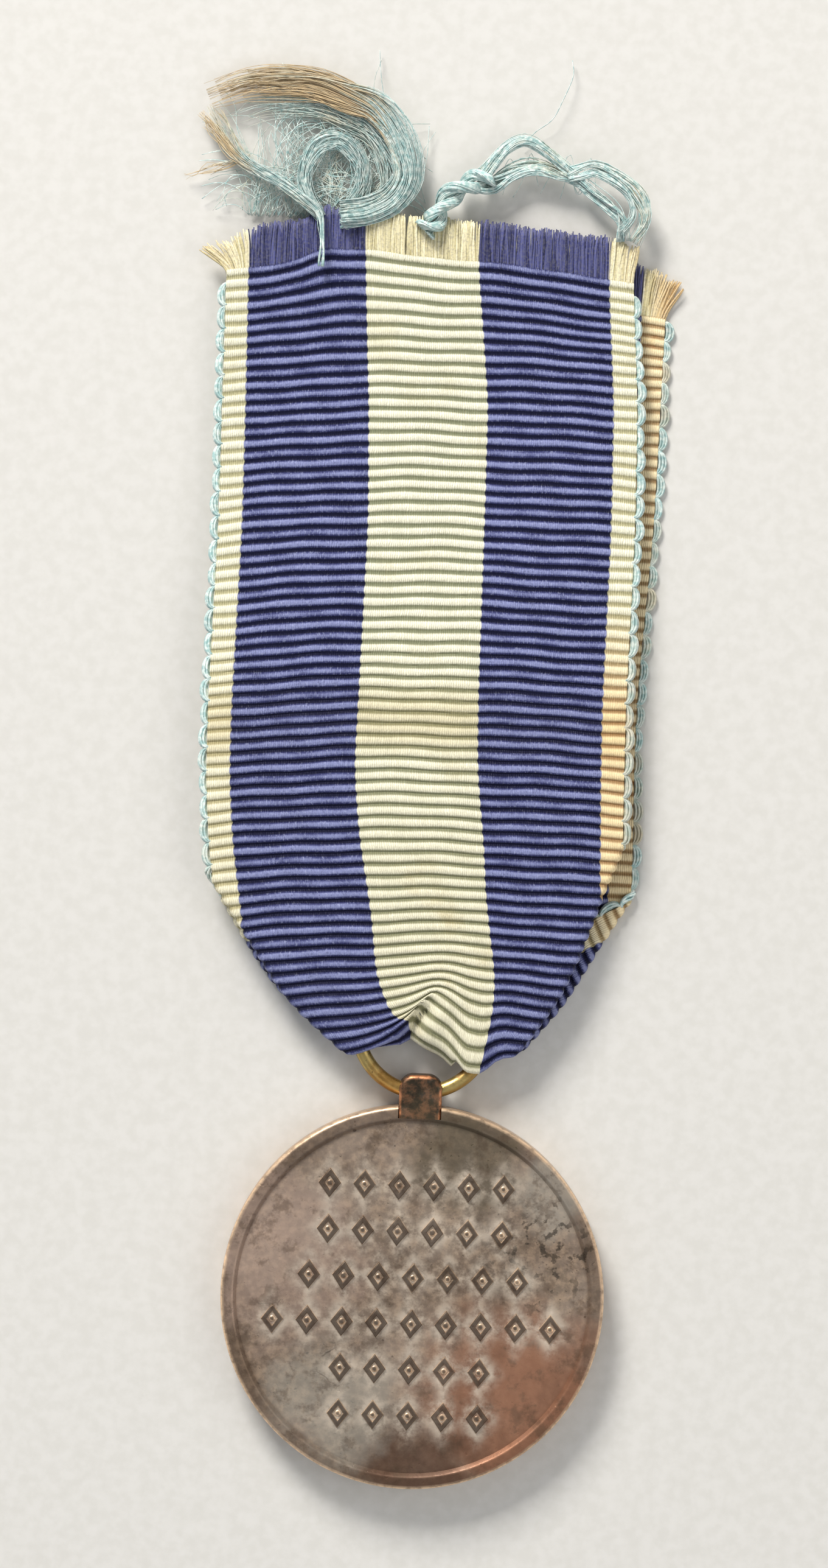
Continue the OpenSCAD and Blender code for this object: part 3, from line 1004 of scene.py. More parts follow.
class SelvedgeLoops:
    """The weft yarn's loops along one selvedge of one layer, one loop to two ribs."""

    REACH = 0.74
    STRANDS = (  # share of the reach, lift and radius of each strand in a loop
        (0.4, -0.08, 0.11), (0.57, 0.1, 0.12), (0.74, -0.05, 0.12), (0.9, 0.1, 0.12), (1.04, -0.03, 0.11),
    )

    def __init__(self, layer: RibbonLayer, edge: Selvedge, rng: np.random.Generator) -> None:
        """Keeps the edge that the loops are on."""
        self.layer, self.edge, self.rng = layer, edge, rng

    def warmth(self, along: float) -> float:
        """Gives how tan a loop is: the lower layer's right selvedge has soaked up rust.

        Args:
            along: The loop's place up the strip.

        Returns:
            A number from 0, pale, to 1, tan.
        """
        if self.edge is Selvedge.LEFT:
            return 0.12 + 0.25 * float(smoothstep(30 - along, 0, 16))
        if self.layer.side is LayerSide.BACK:
            return 0.3 + 0.15 * math.sin(along * 0.35) + 0.1 * math.sin(along * 1.3)
        return 0.22 + 0.25 * float(smoothstep(42 - along, 0, 14))

    def build(self) -> Piece:
        """Makes the loops as one piece.

        Returns:
            The piece.
        """
        bundle = YarnBundle(f"{self.layer.side.word}_loops_{self.edge.word}")
        swing = np.linspace(0, math.pi, 11)
        sign = self.edge.value
        for start in np.arange(0.6, self.layer.woven - 2 * RIB, 2 * RIB):
            reach = self.REACH * self.rng.uniform(0.85, 1.15)
            pull = self.rng.uniform(-0.12, 0.12)
            for share, lift, radius in self.STRANDS:
                across = sign * (HALF_WIDTH - 0.12 + reach * share * np.sin(swing) ** 0.8)
                along = start + RIB * (1 - (0.82 + 0.16 * share) * np.cos(swing))
                along = along + pull * np.sin(swing)
                if self.layer.is_cut_away(across, along).any():
                    continue
                lifts = lift + self.rng.uniform(-0.03, 0.03) + 0.05 * np.sin(swing * 2)
                line = self.layer.place(across, along, lifts)
                tone = self.rng.uniform(0.2, 0.8)
                bundle.add(line, radius, tone, self.layer.uv(across, along), self.warmth(start))
        return bundle.build()


class FrayedEnd:
    """The warp's loose ends over the top of one layer."""

    YARNS = 400
    KNOTS = 7

    def __init__(self, layer: RibbonLayer, rng: np.random.Generator) -> None:
        """Keeps the layer whose end is frayed and the source of the yarns' small differences."""
        self.layer, self.rng = layer, rng

    def build(self) -> Piece:
        """Makes the frayed end as one piece.

        Returns:
            The piece.
        """
        bundle = YarnBundle(f"{self.layer.side.word}_frayed_warp")
        reach = np.linspace(0, 1, self.KNOTS)
        for index in range(self.YARNS * 2):
            deep = index % 2
            across = (2 * (index // 2 + 0.5) / self.YARNS - 1) * (HALF_WIDTH - 0.1)
            across += self.rng.normal(0, 0.05)
            length = self.layer.fray * self.rng.uniform(0.9, 0.98) * (1 - 0.06 * deep)
            length *= 1 + 0.03 * math.sin(across * 1.3) + 0.02 * math.sin(across * 5.1)
            if self.rng.random() < 0.03:
                length *= self.rng.uniform(0.7, 1.1)
            clump = math.sin(across * 4.1) * 0.1 + math.sin(across * 9.7 + 1) * 0.05
            left, right = smoothstep(abs(across), HALF_WIDTH - 2.6, HALF_WIDTH) * np.array(self.layer.flare)
            lean = (-left if across < 0 else right) * self.rng.uniform(0.75, 1.15)
            drop = 0.55 * abs(lean)
            side = across + lean * reach**1.5 + (clump + self.rng.normal(0, 0.06)) * reach
            side = side + 0.05 * np.sin(reach * 7 + self.rng.uniform(0, FULL_TURN)) * reach
            along = self.layer.woven - 0.5 + (length + 0.5 - drop) * reach
            lift = self.rng.uniform(-0.02, 0.13) - 0.1 * deep
            lift = lift + self.rng.normal(0, 0.13) * reach**1.5 - 0.15 * reach**2
            line = self.layer.place(side, along, lift)
            line[:, 2] = np.maximum(line[:, 2], 0.08)
            radius = np.interp(reach, [0, 0.8, 1], [0.095, 0.09, 0.05])
            uv = self.layer.uv(np.full_like(along, across), along)
            warmth = right * 0.35 if self.layer.side is LayerSide.BACK else left * 0.1
            bundle.add(line, radius, self.rng.uniform(0, 1), uv, np.clip(warmth + 0.1 * reach, 0, 1))
        return bundle.build()


# ---------------------------------------------------------------- loose yarn over the ribbon

PLY_ROUTE = [(-1.1, 2.4), (-0.4, 3.2), (0.7, 5.2), (2.6, 6.6), (4.4, 7.2)]
UPPER_ROUTE = [(3.6, 7.3), (4.3, 8.3), (5.5, 9.5), (6.9, 10.0), (8.3, 9.4), (10.2, 8.1), (11.4, 7.5)]
LOWER_ROUTE = [(3.4, 6.7), (4.5, 6.6), (5.8, 7.2), (7.8, 7.8), (9.7, 7.5), (11.4, 7.3)]
OUTER_ROUTE = [
    (10.6, 7.7), (11.6, 8.0), (12.9, 8.3), (14.2, 7.7),
    (15.8, 6.6), (16.7, 5.3), (16.9, 3.9), (16.0, 2.3),
]
INNER_ROUTE = [(10.6, 7.5), (11.6, 7.2), (12.9, 6.3), (14.4, 5.1), (15.3, 3.9), (15.5, 2.2)]
LOCK_ROUTE = [
    (-8.2, 3.6), (-6, 3.9), (-4, 4.9), (-2.9, 6.7), (-3.2, 8.7), (-4.2, 10.7), (-5.8, 12.4),
    (-8, 13.3), (-10.8, 14.2), (-13.8, 14.4), (-16.6, 14.1), (-19.6, 12.9),
]
KNOT_ROUTE = [(-9.6, -1.0), (-9.55, 0.4), (-9.7, 2.2), (-10.1, 3.7), (-11.6, 5.0)]
TIP_ROUTE = [(-16.0, 8.2), (-17.4, 7.6), (-19.4, 7.0), (-21.4, 6.3)]
STRAND_ROUTE = [(-9.9, 3.5), (-12.4, 5.4), (-14.8, 6.8), (-16.9, 8.1), (-18.6, 10.4), (-20, 12)]
SWIRL_ROUTE = [
    (-9.8, 3.2), (-11.1, 4.9), (-11.6, 6.5), (-11.3, 8.2), (-10.4, 9.6), (-8.8, 10.1),
    (-7.4, 9.3), (-6.4, 7.7), (-6.4, 5.9), (-7.2, 4.4), (-8.1, 3.2),
]
WISPS, ARCS = 190, 80  # stray hairs in the tangle: those that run out, and those that curl


def smooth_route(points: list[tuple[float, ...]], count: int) -> np.ndarray:
    """Draws a smooth line through points.

    Args:
        points: The points.
        count: How many places to give.

    Returns:
        The places, one row each.
    """
    given = np.array(points, float)
    ends = np.vstack([2 * given[0] - given[1], given, 2 * given[-1] - given[-2]])
    run = np.linspace(0, len(given) - 1.000001, count)
    low = run.astype(int)
    t = (run - low)[:, None]
    a, b, c, d = (ends[low + i] for i in range(4))
    bend, twist = 2 * a - 5 * b + 4 * c - d, 3 * b - a - 3 * c + d
    return 0.5 * (2 * b + (c - a) * t + bend * t**2 + twist * t**3)


@dataclass(frozen=True)
class Lock:
    """A lock of fine yarns that follows a route."""

    route: list[Pair]
    yarns: int
    spread: tuple[float, float, float]  # half its width at its start, middle and end
    radius: float  # of one yarn
    height: Pair  # over the table, at its start and end
    warmth: Pair  # at its start and end
    frizz: float = 0.12  # how far the yarns wander from it
    ragged: float = 0.12  # how unevenly they end


TANGLE_LOCKS = (
    Lock(LOCK_ROUTE, 240, (0.9, 1.2, 1.0), 0.042, (1.9, 0.9), (0.08, 0.85), frizz=0.2, ragged=0.16),
    Lock([(0.84 * x - 1.4, 0.86 * y + 0.2) for x, y in LOCK_ROUTE], 70, (0.8, 0.7, 0.9), 0.038, (1.5, 0.7),
         (0.05, 0.25), frizz=0.35, ragged=0.25),
    Lock(SWIRL_ROUTE, 70, (0.5, 0.8, 0.6), 0.038, (1.6, 1.4), (0.0, 0.08), frizz=0.25),
    Lock(STRAND_ROUTE, 70, (0.35, 0.4, 0.7), 0.04, (2.1, 0.8), (0.05, 0.6), frizz=0.18),
    Lock(KNOT_ROUTE, 26, (0.2, 0.3, 0.35), 0.05, (2.5, 2.1), (0.0, 0.05), frizz=0.03, ragged=0.02),
    Lock(TIP_ROUTE, 18, (0.3, 0.3, 0.45), 0.035, (1.2, 0.6), (0.6, 0.9), frizz=0.14, ragged=0.3),
)
SKEIN_LOCKS = (
    Lock(UPPER_ROUTE, 84, (0.7, 0.7, 0.55), 0.055, (1.7, 1.7), (0.02, 0.12), frizz=0.08, ragged=0.01),
    Lock(LOWER_ROUTE, 84, (0.8, 0.95, 0.6), 0.055, (1.5, 1.5), (0.16, 0.28), frizz=0.12, ragged=0.01),
    Lock(OUTER_ROUTE, 76, (0.55, 0.7, 0.95), 0.055, (1.7, 2.0), (0.02, 0.2), frizz=0.09, ragged=0.03),
    Lock(INNER_ROUTE, 66, (0.55, 0.65, 0.8), 0.055, (1.5, 2.0), (0.02, 0.12), frizz=0.09, ragged=0.03),
)


class LooseYarn:
    """Pulled-out weft yarn that lies past the ribbon's frayed end."""

    PLY_YARNS = 22

    def __init__(self, name: str, rng: np.random.Generator) -> None:
        """Starts the piece.

        Args:
            name: The piece's name.
            rng: The source of the yarns' small differences.
        """
        self.rng = rng
        self.bundle = YarnBundle(name, sides=3)
        self.origin = np.array([FRONT_SHIFT, FRONT_HIGH[1], 0.0])

    def flat_line(self, route: list[tuple[float, ...]], count: int) -> tuple[np.ndarray, np.ndarray]:
        """Places a flat route over the ribbon's end.

        Args:
            route: Points across and up from the middle of the ribbon's end.
            count: How many places to give.

        Returns:
            The line's places, with no height yet, and the flat direction square to it.
        """
        line = smooth_route([(*point, 0.0) for point in route], count) + self.origin
        ahead = np.gradient(line, axis=0)
        ahead /= np.linalg.norm(ahead, axis=1, keepdims=True)
        return line, np.stack([-ahead[:, 1], ahead[:, 0], 0 * ahead[:, 0]], axis=1)

    def lay(self, lock: Lock) -> None:
        """Lays a lock of fine yarns.

        Args:
            lock: The lock.
        """
        radius, frizz = lock.radius, lock.frizz
        knots = max(12, int(3.4 * len(lock.route)))
        line, side = self.flat_line(lock.route, knots)
        run = np.linspace(0, 1, knots)
        wide = np.interp(run, [0, 0.5, 1], lock.spread)
        clump = lock.yarns // max(3, lock.yarns // 14)
        for index in range(lock.yarns):
            if index % clump == 0:
                bearing, away = self.rng.uniform(0, 2 * math.pi), math.sqrt(self.rng.uniform(0, 1))
                drift, sway = self.rng.uniform(-1.6, 1.6), self.rng.uniform(0, FULL_TURN)
            loose = 2.8 if self.rng.random() < 0.12 else 1.0
            turn = bearing + drift * run + self.rng.normal(0, 0.2)
            reach = away + self.rng.normal(0, 0.13)
            wave = self.rng.uniform(0, FULL_TURN)
            off = reach * np.cos(turn) * wide + 0.25 * wide * np.sin(run * 7 + sway)
            off = off + loose * frizz * np.sin(run * self.rng.uniform(5, 15) + wave) * np.sqrt(run)
            lift = np.interp(run, [0, 1], lock.height) + reach * np.sin(turn) * wide * 0.45
            lift = lift + 0.5 * frizz * np.sin(run * self.rng.uniform(5, 12) + wave + 1)
            fibre = line + side * off[:, None] + UP * np.maximum(lift, radius + 0.02)[:, None]
            last = knots - int(abs(self.rng.normal(0, lock.ragged)) * knots)
            fibre = fibre[: max(last, 6)]
            part = np.linspace(0, 1, len(fibre))
            taper = np.interp(part, [0, 0.8, 1], [1, 0.9, 0.4]) * self.rng.uniform(0.75, 1.2)
            turned = np.interp(part, [0.5, 0.72], lock.warmth)
            turned = turned + self.rng.normal(0, 0.08) + (0.15 if off.mean() > 0 else -0.1)
            self.bundle.add(fibre, radius * taper, self.rng.uniform(0, 1), None, turned)

    def twisted(self, route: list[Pair], width: float, turns: float, height: Pair, warmth: float) -> None:
        """Lays a two-ply twisted yarn along a route.

        Args:
            route: The yarn's route.
            width: Half its width.
            turns: How many times its plies turn.
            height: Its height over the table at its start and end.
            warmth: Its warmth.
        """
        knots = int(11 * len(route))
        line, side = self.flat_line(route, knots)
        run = np.linspace(0, 1, knots)
        rise = np.interp(run, [0, 1], height)
        for ply in range(2):
            for index in range(self.PLY_YARNS):
                phase = 2 * math.pi * (run * turns + ply / 2)
                inner = 2 * math.pi * (index / self.PLY_YARNS + 0.8 * run * turns)
                away = 0.5 * width
                thick = 0.42 * width * self.rng.uniform(0.75, 1.08)
                off = away * np.cos(phase) + thick * np.cos(inner)
                lift = away * np.sin(phase) + thick * np.sin(inner)
                fibre = line + side * off[:, None] + UP * np.maximum(rise + lift, 0.1)[:, None]
                self.bundle.add(fibre, 0.1, self.rng.uniform(0.2, 1.0), None, warmth)

    def wisp(self, points: list[Pair], radius: float = 0.035, warmth: float = 0.1) -> None:
        """Lays one stray hair along a route, a little over the table.

        Args:
            points: Places along the route, in millimetres.
            radius: The hair's radius, in millimetres.
            warmth: How brown it is, from 0 to 1.
        """
        line, _ = self.flat_line(points, 4 * len(points))
        arch = 0.35 + 0.5 * np.sin(np.linspace(0, math.pi, len(line)))
        self.bundle.add(line + UP * arch[:, None], radius, self.rng.uniform(0.4, 1), None, warmth)

    def build(self) -> Piece:
        """Makes the piece."""
        return self.bundle.build()


def make_tangle(rng: np.random.Generator) -> Piece:
    """Makes the tangle over the ribbon's left end.

    Args:
        rng: The source of small differences.

    Returns:
        The tangle as one piece.
    """
    yarn = LooseYarn("tangled_yarn", rng)
    for lock in TANGLE_LOCKS:
        yarn.lay(lock)
    for _ in range(WISPS):
        root = np.array([rng.uniform(-16, -5), 3.2 + 0.2 * rng.random()])
        lean, curl = rng.normal(0, 0.35), rng.normal(0, 0.42)
        step, bearing, route = rng.uniform(1.0, 1.9), math.pi / 2 + lean, [tuple(root)]
        for _ in range(rng.integers(4, 9)):
            root = root + step * np.array([math.cos(bearing), math.sin(bearing)])
            bearing += curl + rng.normal(0, 0.2)
            if not (3.3 <= root[1] <= 17.4 and -20.5 < root[0] < -0.5):
                break
            route.append(tuple(root))
        if len(route) > 2:
            yarn.wisp(route, 0.022 + 0.02 * rng.random(), rng.uniform(0, 0.45))
    for _ in range(ARCS):
        swing, size = rng.uniform(0, FULL_TURN), rng.uniform(1.4, 3.6)
        middle = np.array([rng.uniform(-12, -5.5), rng.uniform(6.5, 12)])
        bend = swing + np.linspace(0, rng.uniform(1.5, 3.2), 6)
        route = [tuple(middle + size * np.array([math.cos(a), math.sin(a)])) for a in bend]
        yarn.wisp(route, 0.022 + 0.02 * rng.random(), rng.uniform(0, 0.3))
    yarn.wisp([(-4.5, 9), (-4.8, 12.4), (-5.3, 15.4), (-5.5, 17.6)])
    yarn.wisp([(-10.5, 14.2), (-12, 15.3), (-13.5, 16.1)])
    yarn.wisp([(-3.2, 5), (-1.8, 6.4), (-1.2, 8.6), (-1.1, 11.4)])
    return yarn.build()


def make_skein(rng: np.random.Generator) -> Piece:
    """Makes the twisted yarn over the ribbon's right end.

    Args:
        rng: The source of small differences.

    Returns:
        The skein as one piece.
    """
    yarn = LooseYarn("twisted_skein", rng)
    yarn.twisted(PLY_ROUTE, 1.12, 1.9, (2.0, 1.6), 0.04)
    for lock in SKEIN_LOCKS:
        yarn.lay(lock)
    yarn.wisp([(6.8, 10), (7.8, 11.2), (9.2, 12.3), (10, 13.9), (10.8, 16), (10.7, 17.4)], 0.045)
    for _ in range(8):
        start = rng.uniform(3, 13)
        route = [(start + 0.7 * i, 7.2 + rng.uniform(-1.6, 2.4)) for i in range(4)]
        yarn.wisp(route, 0.03)
    return yarn.build()


# ---------------------------------------------------------------- metal parts


@dataclass
class StruckDisc:
    """The medal's disc: a raised rim round sunk fields, with struck ornament on both faces."""

    radius: float = DISC_R
    low: float = float(DISC_LOW[2])
    high: float = float(DISC_HIGH[2])
    rim: float = 1.1
    corner: float = 0.34  # rounding of the outer corner
    sunk: float = 0.35
    relief: float = 0.22
    row_pitch: float = 3.84
    rows_down: float = 0.3  # how far the rows lie below the disc's middle
    pitch: float = 2.9
    lozenge: Pair = (1.9, 2.5)
    line: float = 0.42
    rows: tuple[int, ...] = (6, 6, 7, 9, 5, 5)
    roundel: float = 6.5
    leaves_a_side: int = 13
    leaf: Pair = (4.2, 1.5)
    leaf_lean: float = 62.0  # degrees
    wreath_gap: float = 12.0  # degrees from the foot to the first leaf
    rings: int = 23  # rings of faces on each field, so that it can hold the worn places
    places: list[Pair] = field(default_factory=list)
    parts: list[Piece] = field(default_factory=list)

    def blank(self) -> Piece:
        """Turns the blank: rim, sunk fields and softened corners.

        Returns:
            The blank.
        """
        bpy.ops.mesh.primitive_cylinder_add(
            vertices=200,
            radius=self.radius * MM,
            depth=(self.high - self.low) * MM,
            location=(0, 0, (self.high + self.low) / 2 * MM),
        )
        disc = added_piece()
        outer, inner = self.radius * MM * 0.999, (self.radius - self.rim + 0.1) * MM

        def on_corner(edge: bmesh.types.BMEdge) -> bool:
            """Tells an edge round the outer corner from the rest."""
            a, b = (v.co for v in edge.verts)
            return min(a.xy.length, b.xy.length) > outer and abs(a.z - b.z) < TINY

        def on_rim(edge: bmesh.types.BMEdge) -> bool:
            """Tells an edge round the rim's inner corner from the rest."""
            return all(abs(v.co.xy.length - inner) < 0.02 * MM for v in edge.verts)

        with editing(disc):
            for sign in (1, -1):
                select_only(disc, "FACE", lambda face: face.normal.z * sign > 0.9)
                inset((self.rim - 0.1, 0), (0.32, -self.sunk), *[(0.6, 0)] * self.rings)
            round_edges(disc, on_corner, self.corner, 4)
            round_edges(disc, on_rim, 0.14, 3)
        return disc

    def notch(self, disc: Piece) -> None:
        """Cuts the slot that the lug sits in.

        Args:
            disc: The blank.
        """
        depth = self.radius - float(LUG_LOW[1]) + 1
        bpy.ops.mesh.primitive_cube_add(size=1, location=(0, (LUG_LOW[1] + depth / 2) * MM, MID_Z * MM))
        cut_away(disc, added_piece((LUG_HIGH[0] - LUG_LOW[0]) * MM, depth * MM, 6 * MM))

    def model_lozenge(self) -> Piece:
        """Models one lozenge: a raised line round a pellet, on the plane of the field.

        Returns:
            The lozenge.
        """
        bpy.ops.mesh.primitive_circle_add(vertices=4, radius=1 * MM, fill_type="NGON")
        lozenge = added_piece(self.lozenge[0] / 2, self.lozenge[1] / 2, 1)
        top = self.relief * MM - TINY

        def on_top(edge: bmesh.types.BMEdge) -> bool:
            """Tells an edge along the raised line's top from the rest."""
            sides = {face.normal.z > 0.9 for face in edge.link_faces}
            return len(sides) == 2 and all(v.co.z > top for v in edge.verts)

        with editing(lozenge):
            extrude(0, 0, self.relief)
            inset((self.line, 0))
            extrude(0, 0, -0.8 * self.relief)
            face_outward()
            round_edges(lozenge, on_top, 0.13, 3)
        bpy.ops.mesh.primitive_uv_sphere_add(segments=12, ring_count=8, radius=self.line * 0.72 * MM)
        return join_pieces([lozenge, added_piece(1, 1, 0.6)], "lozenge")

    def model_leaf(self) -> Piece:
        """Models one leaf of the wreath: a pointed blade with a sunk midrib.

        Returns:
            The leaf.
        """
        along_x = (0, math.pi / 2, 0)
        bpy.ops.mesh.primitive_uv_sphere_add(segments=16, ring_count=12, radius=1, rotation=along_x)
        leaf = added_piece()
        long, wide = self.leaf
        for vertex in leaf.data.vertices:
            x, y, z = vertex.co
            blade = 1 - 0.25 * x * x
            rib = 0.35 * math.exp(-((y / 0.18) ** 2)) * (1 - x * x)
            vertex.co = (x * long / 2 * MM, y * blade * wide / 2 * MM, (z * (1 - rib)) * self.relief * MM)
        leaf.name = "leaf"
        return leaf

    def copy_to(self, model: Piece, x: float, y: float, z: float, turn: float, tall: float) -> None:
        """Sets a copy of a modelled ornament on a face.

        Args:
            model: The ornament.
            x, y, z: Its place, in millimetres.
            turn: Its turn about the disc's axis, in radians.
            tall: How high it stands, as a share of the model's height; below 0 on the lower face.
        """
        copy = linked(model.name, model.data.copy())
        copy.location = (x * MM, y * MM, z * MM)
        copy.rotation_euler = (math.pi, 0, turn) if tall < 0 else (0, 0, turn)
        copy.scale = (1, 1, abs(tall))
        apply_place(copy)
        self.parts.append(copy)

    def ornament(self, rng: np.random.Generator) -> None:
        """Sets the rows of lozenges on the shown face, and the wreath and roundel on the other.

        Args:
            rng: The source of small differences in wear.
        """
        lozenge, leaf = self.model_lozenge(), self.model_leaf()
        for row, count in enumerate(self.rows):
            y = self.row_pitch * ((len(self.rows) - 1) / 2 - row) - self.rows_down
            for index in range(count):
                x = self.pitch * (index - (count - 1) / 2)
                z = self.high - self.sunk - 0.01
                self.copy_to(lozenge, x, y, z, rng.normal(0, 0.02), rng.uniform(0.72, 1.05))
                self.places.append((x, y))
        middle = (self.roundel + self.radius - self.rim) / 2
        step = (180 - 2 * self.wreath_gap) / (self.leaves_a_side - 1)
        for side in (-1, 1):
            for index in range(self.leaves_a_side):
                bearing = side * math.radians(self.wreath_gap + index * step) - math.pi / 2
                turn = -(bearing + side * math.radians(self.leaf_lean))
                x, y = middle * math.cos(bearing), middle * math.sin(bearing)
                self.copy_to(leaf, x, y, self.low + self.sunk, turn, -rng.uniform(0.85, 1.1))
        bpy.data.objects.remove(lozenge)
        bpy.data.objects.remove(leaf)
        self.parts.append(self.roundel_plate())

    def roundel_plate(self) -> Piece:
        """Makes the lower face's plain roundel, with its line round the edge.

        Returns:
            The roundel.
        """
        thick = self.sunk + 0.1
        middle = (0, 0, (self.low + thick / 2) * MM)
        bpy.ops.mesh.primitive_cylinder_add(
            vertices=96, radius=self.roundel * MM, depth=thick * MM, location=middle
        )
        plate = added_piece()
        with editing(plate):
            select_only(plate, "FACE", lambda face: face.normal.z < -0.9)
            inset((0.5, 0), (0.15, -0.12), (0.3, 0), (0.15, 0.1))
        return plate

    def build(self, rng: np.random.Generator) -> Piece:
        """Makes the whole disc as one piece.

        Args:
            rng: The source of small differences in wear.

        Returns:
            The disc.
        """
        disc = self.blank()
        self.notch(disc)
        self.ornament(rng)
        disc = join_pieces([disc, *self.parts], "struck_disc")
        smooth(disc, 35)
        places = points_of(disc.data) / MM
        out = np.hypot(places[:, 0], places[:, 1])
        under = np.minimum(self.high - places[:, 2], places[:, 2] - self.low)
        struck = smoothstep(self.sunk - under, 0.02, self.relief * 0.62)
        struck = np.where(out < self.radius - self.rim - 0.4, struck, 0)
        edge_line = smoothstep(out, self.radius - 0.3, self.radius - 0.08)
        edge_line = edge_line * (1 - smoothstep(under, 0.2, 0.5))
        # The struck ornament's sides get a painted highlight, kept with the bright line round the outer
        # edge.
        keep_number(disc.data, "wear_and_highlight", np.maximum(3 * struck * (1 - struck), edge_line))
        keep_number(disc.data, "struck", struck)
        keep_number(disc.data, "halo", self.halo(places))
        return disc

    def halo(self, points: np.ndarray) -> np.ndarray:
        """Gives how near each place is to an ornament, where the field is paler.

        Args:
            points: Places on the disc, in millimetres.

        Returns:
            A number from 0, far off, to 1, beside an ornament.
        """
        nearest = np.full(len(points), np.inf)
        for x, y in self.places:
            spread = np.abs(points[:, 0] - x) / self.lozenge[0] + np.abs(points[:, 1] - y) / self.lozenge[1]
            nearest = np.minimum(nearest, np.maximum(spread - 0.5, 0))
        return np.where(points[:, 2] > MID_Z, bell(nearest, 0.42), 0)


@dataclass
class RingLug:
    """The block at the medal's top, with the hole that the ring runs through."""

    corner: float = 1.2
    edge: float = 0.42
    hole: float = 1.053
    mouth: float = 0.28  # how deep the hole's opened mouths reach in
    flare: float = 0.42  # how much wider a mouth is, a little outside the lug
    outside: float = 0.4

    def build(self) -> Piece:
        """Makes the lug.

        Returns:
            The lug as one piece.
        """
        size, middle = (LUG_HIGH - LUG_LOW) * MM, (LUG_HIGH + LUG_LOW) / 2 * MM
        bpy.ops.mesh.primitive_cube_add(size=1, location=middle.tolist())
        lug = added_piece(*size.tolist())
        lug.name = lug.data.name = "ring_lug"
        foot, top = LUG_LOW[1] * MM, LUG_HIGH[1] * MM
        levels = (LUG_LOW[2] * MM, LUG_HIGH[2] * MM)

        def is_upright(edge: bmesh.types.BMEdge) -> bool:
            """Tells the two top edges that run through the lug's thickness."""
            a, b = (v.co for v in edge.verts)
            return min(a.y, b.y) > top - TINY and abs(a.z - b.z) > 0.1 * MM

        def is_face_edge(edge: bmesh.types.BMEdge) -> bool:
            """Tells the edges round the lug's two broad faces, apart from its foot.

            Args:
                edge: The edge.

            Returns:
                True for such an edge.
            """
            a, b = (v.co for v in edge.verts)
            on_face = any(abs(a.z - level) < 10 * TINY for level in levels)
            return abs(a.z - b.z) < TINY and on_face and max(a.y, b.y) > foot + 10 * TINY

        with editing(lug):
            round_edges(lug, is_upright, self.corner, 10)
            round_edges(lug, is_face_edge, self.edge, 5)
        cut_away(lug, self.drill())
        smooth(lug, 40)
        return lug

    def drill(self) -> Piece:
        """Models the shape of the ring's hole, opened a little at both mouths.

        Returns:
            The shape to cut out of the lug.
        """
        wide = (LUG_HIGH[0] - LUG_LOW[0]) / 2
        half = [(wide - self.mouth, self.hole), (wide + self.outside, self.hole + self.flare)]
        profile = [(-x, radius) for x, radius in reversed(half)] + half
        centre = (0, HOLE_Y * MM, MID_Z * MM)
        bpy.ops.mesh.primitive_circle_add(
            vertices=48,
            radius=profile[0][1] * MM,
            fill_type="NGON",
            location=(profile[0][0] * MM, *centre[1:]),
            rotation=(0, math.pi / 2, 0),
        )
        drill = added_piece()
        with editing(drill):
            for (x0, r0), (x1, r1) in zip(profile, profile[1:]):
                extrude(x1 - x0, 0, 0)
                bpy.ops.transform.resize(value=(1, r1 / r0, r1 / r0), center_override=centre)
            face_outward()
        return drill


@dataclass
class JumpRing:
    """The bent wire ring, with the seam where its ends meet."""

    radius: float = float(RING_R)
    wire: float = float(WIRE_R)
    seam: float = 0.08
    steps: int = 160

    def build(self) -> Piece:
        """Makes the ring.

        Returns:
            The ring as one piece.
        """
        half = math.asin(self.seam / 2 / self.radius)
        bearing = math.pi / 2 + half
        centre = Vector((0, RING_Y * MM, MID_Z * MM))
        out = Vector((math.cos(bearing), math.sin(bearing), 0))
        bpy.ops.mesh.primitive_circle_add(
            vertices=28,
            radius=self.wire * MM,
            fill_type="NOTHING",
            location=centre + out * self.radius * MM,
            rotation=(math.pi / 2, 0, bearing),
        )
        ring = added_piece()
        ring.name = ring.data.name = "wire_ring"
        with editing(ring):
            bpy.ops.mesh.spin(steps=self.steps, angle=2 * math.pi - 2 * half, center=centre, axis=(0, 0, 1))
            bpy.ops.mesh.select_all(action="SELECT")
            bpy.ops.mesh.fill_holes(sides=0)
            face_outward()
        smooth(ring, 40)
        keep_number(ring.data, "wear_and_highlight", np.zeros(len(ring.data.vertices)))
        return ring


# ---------------------------------------------------------------- finishes


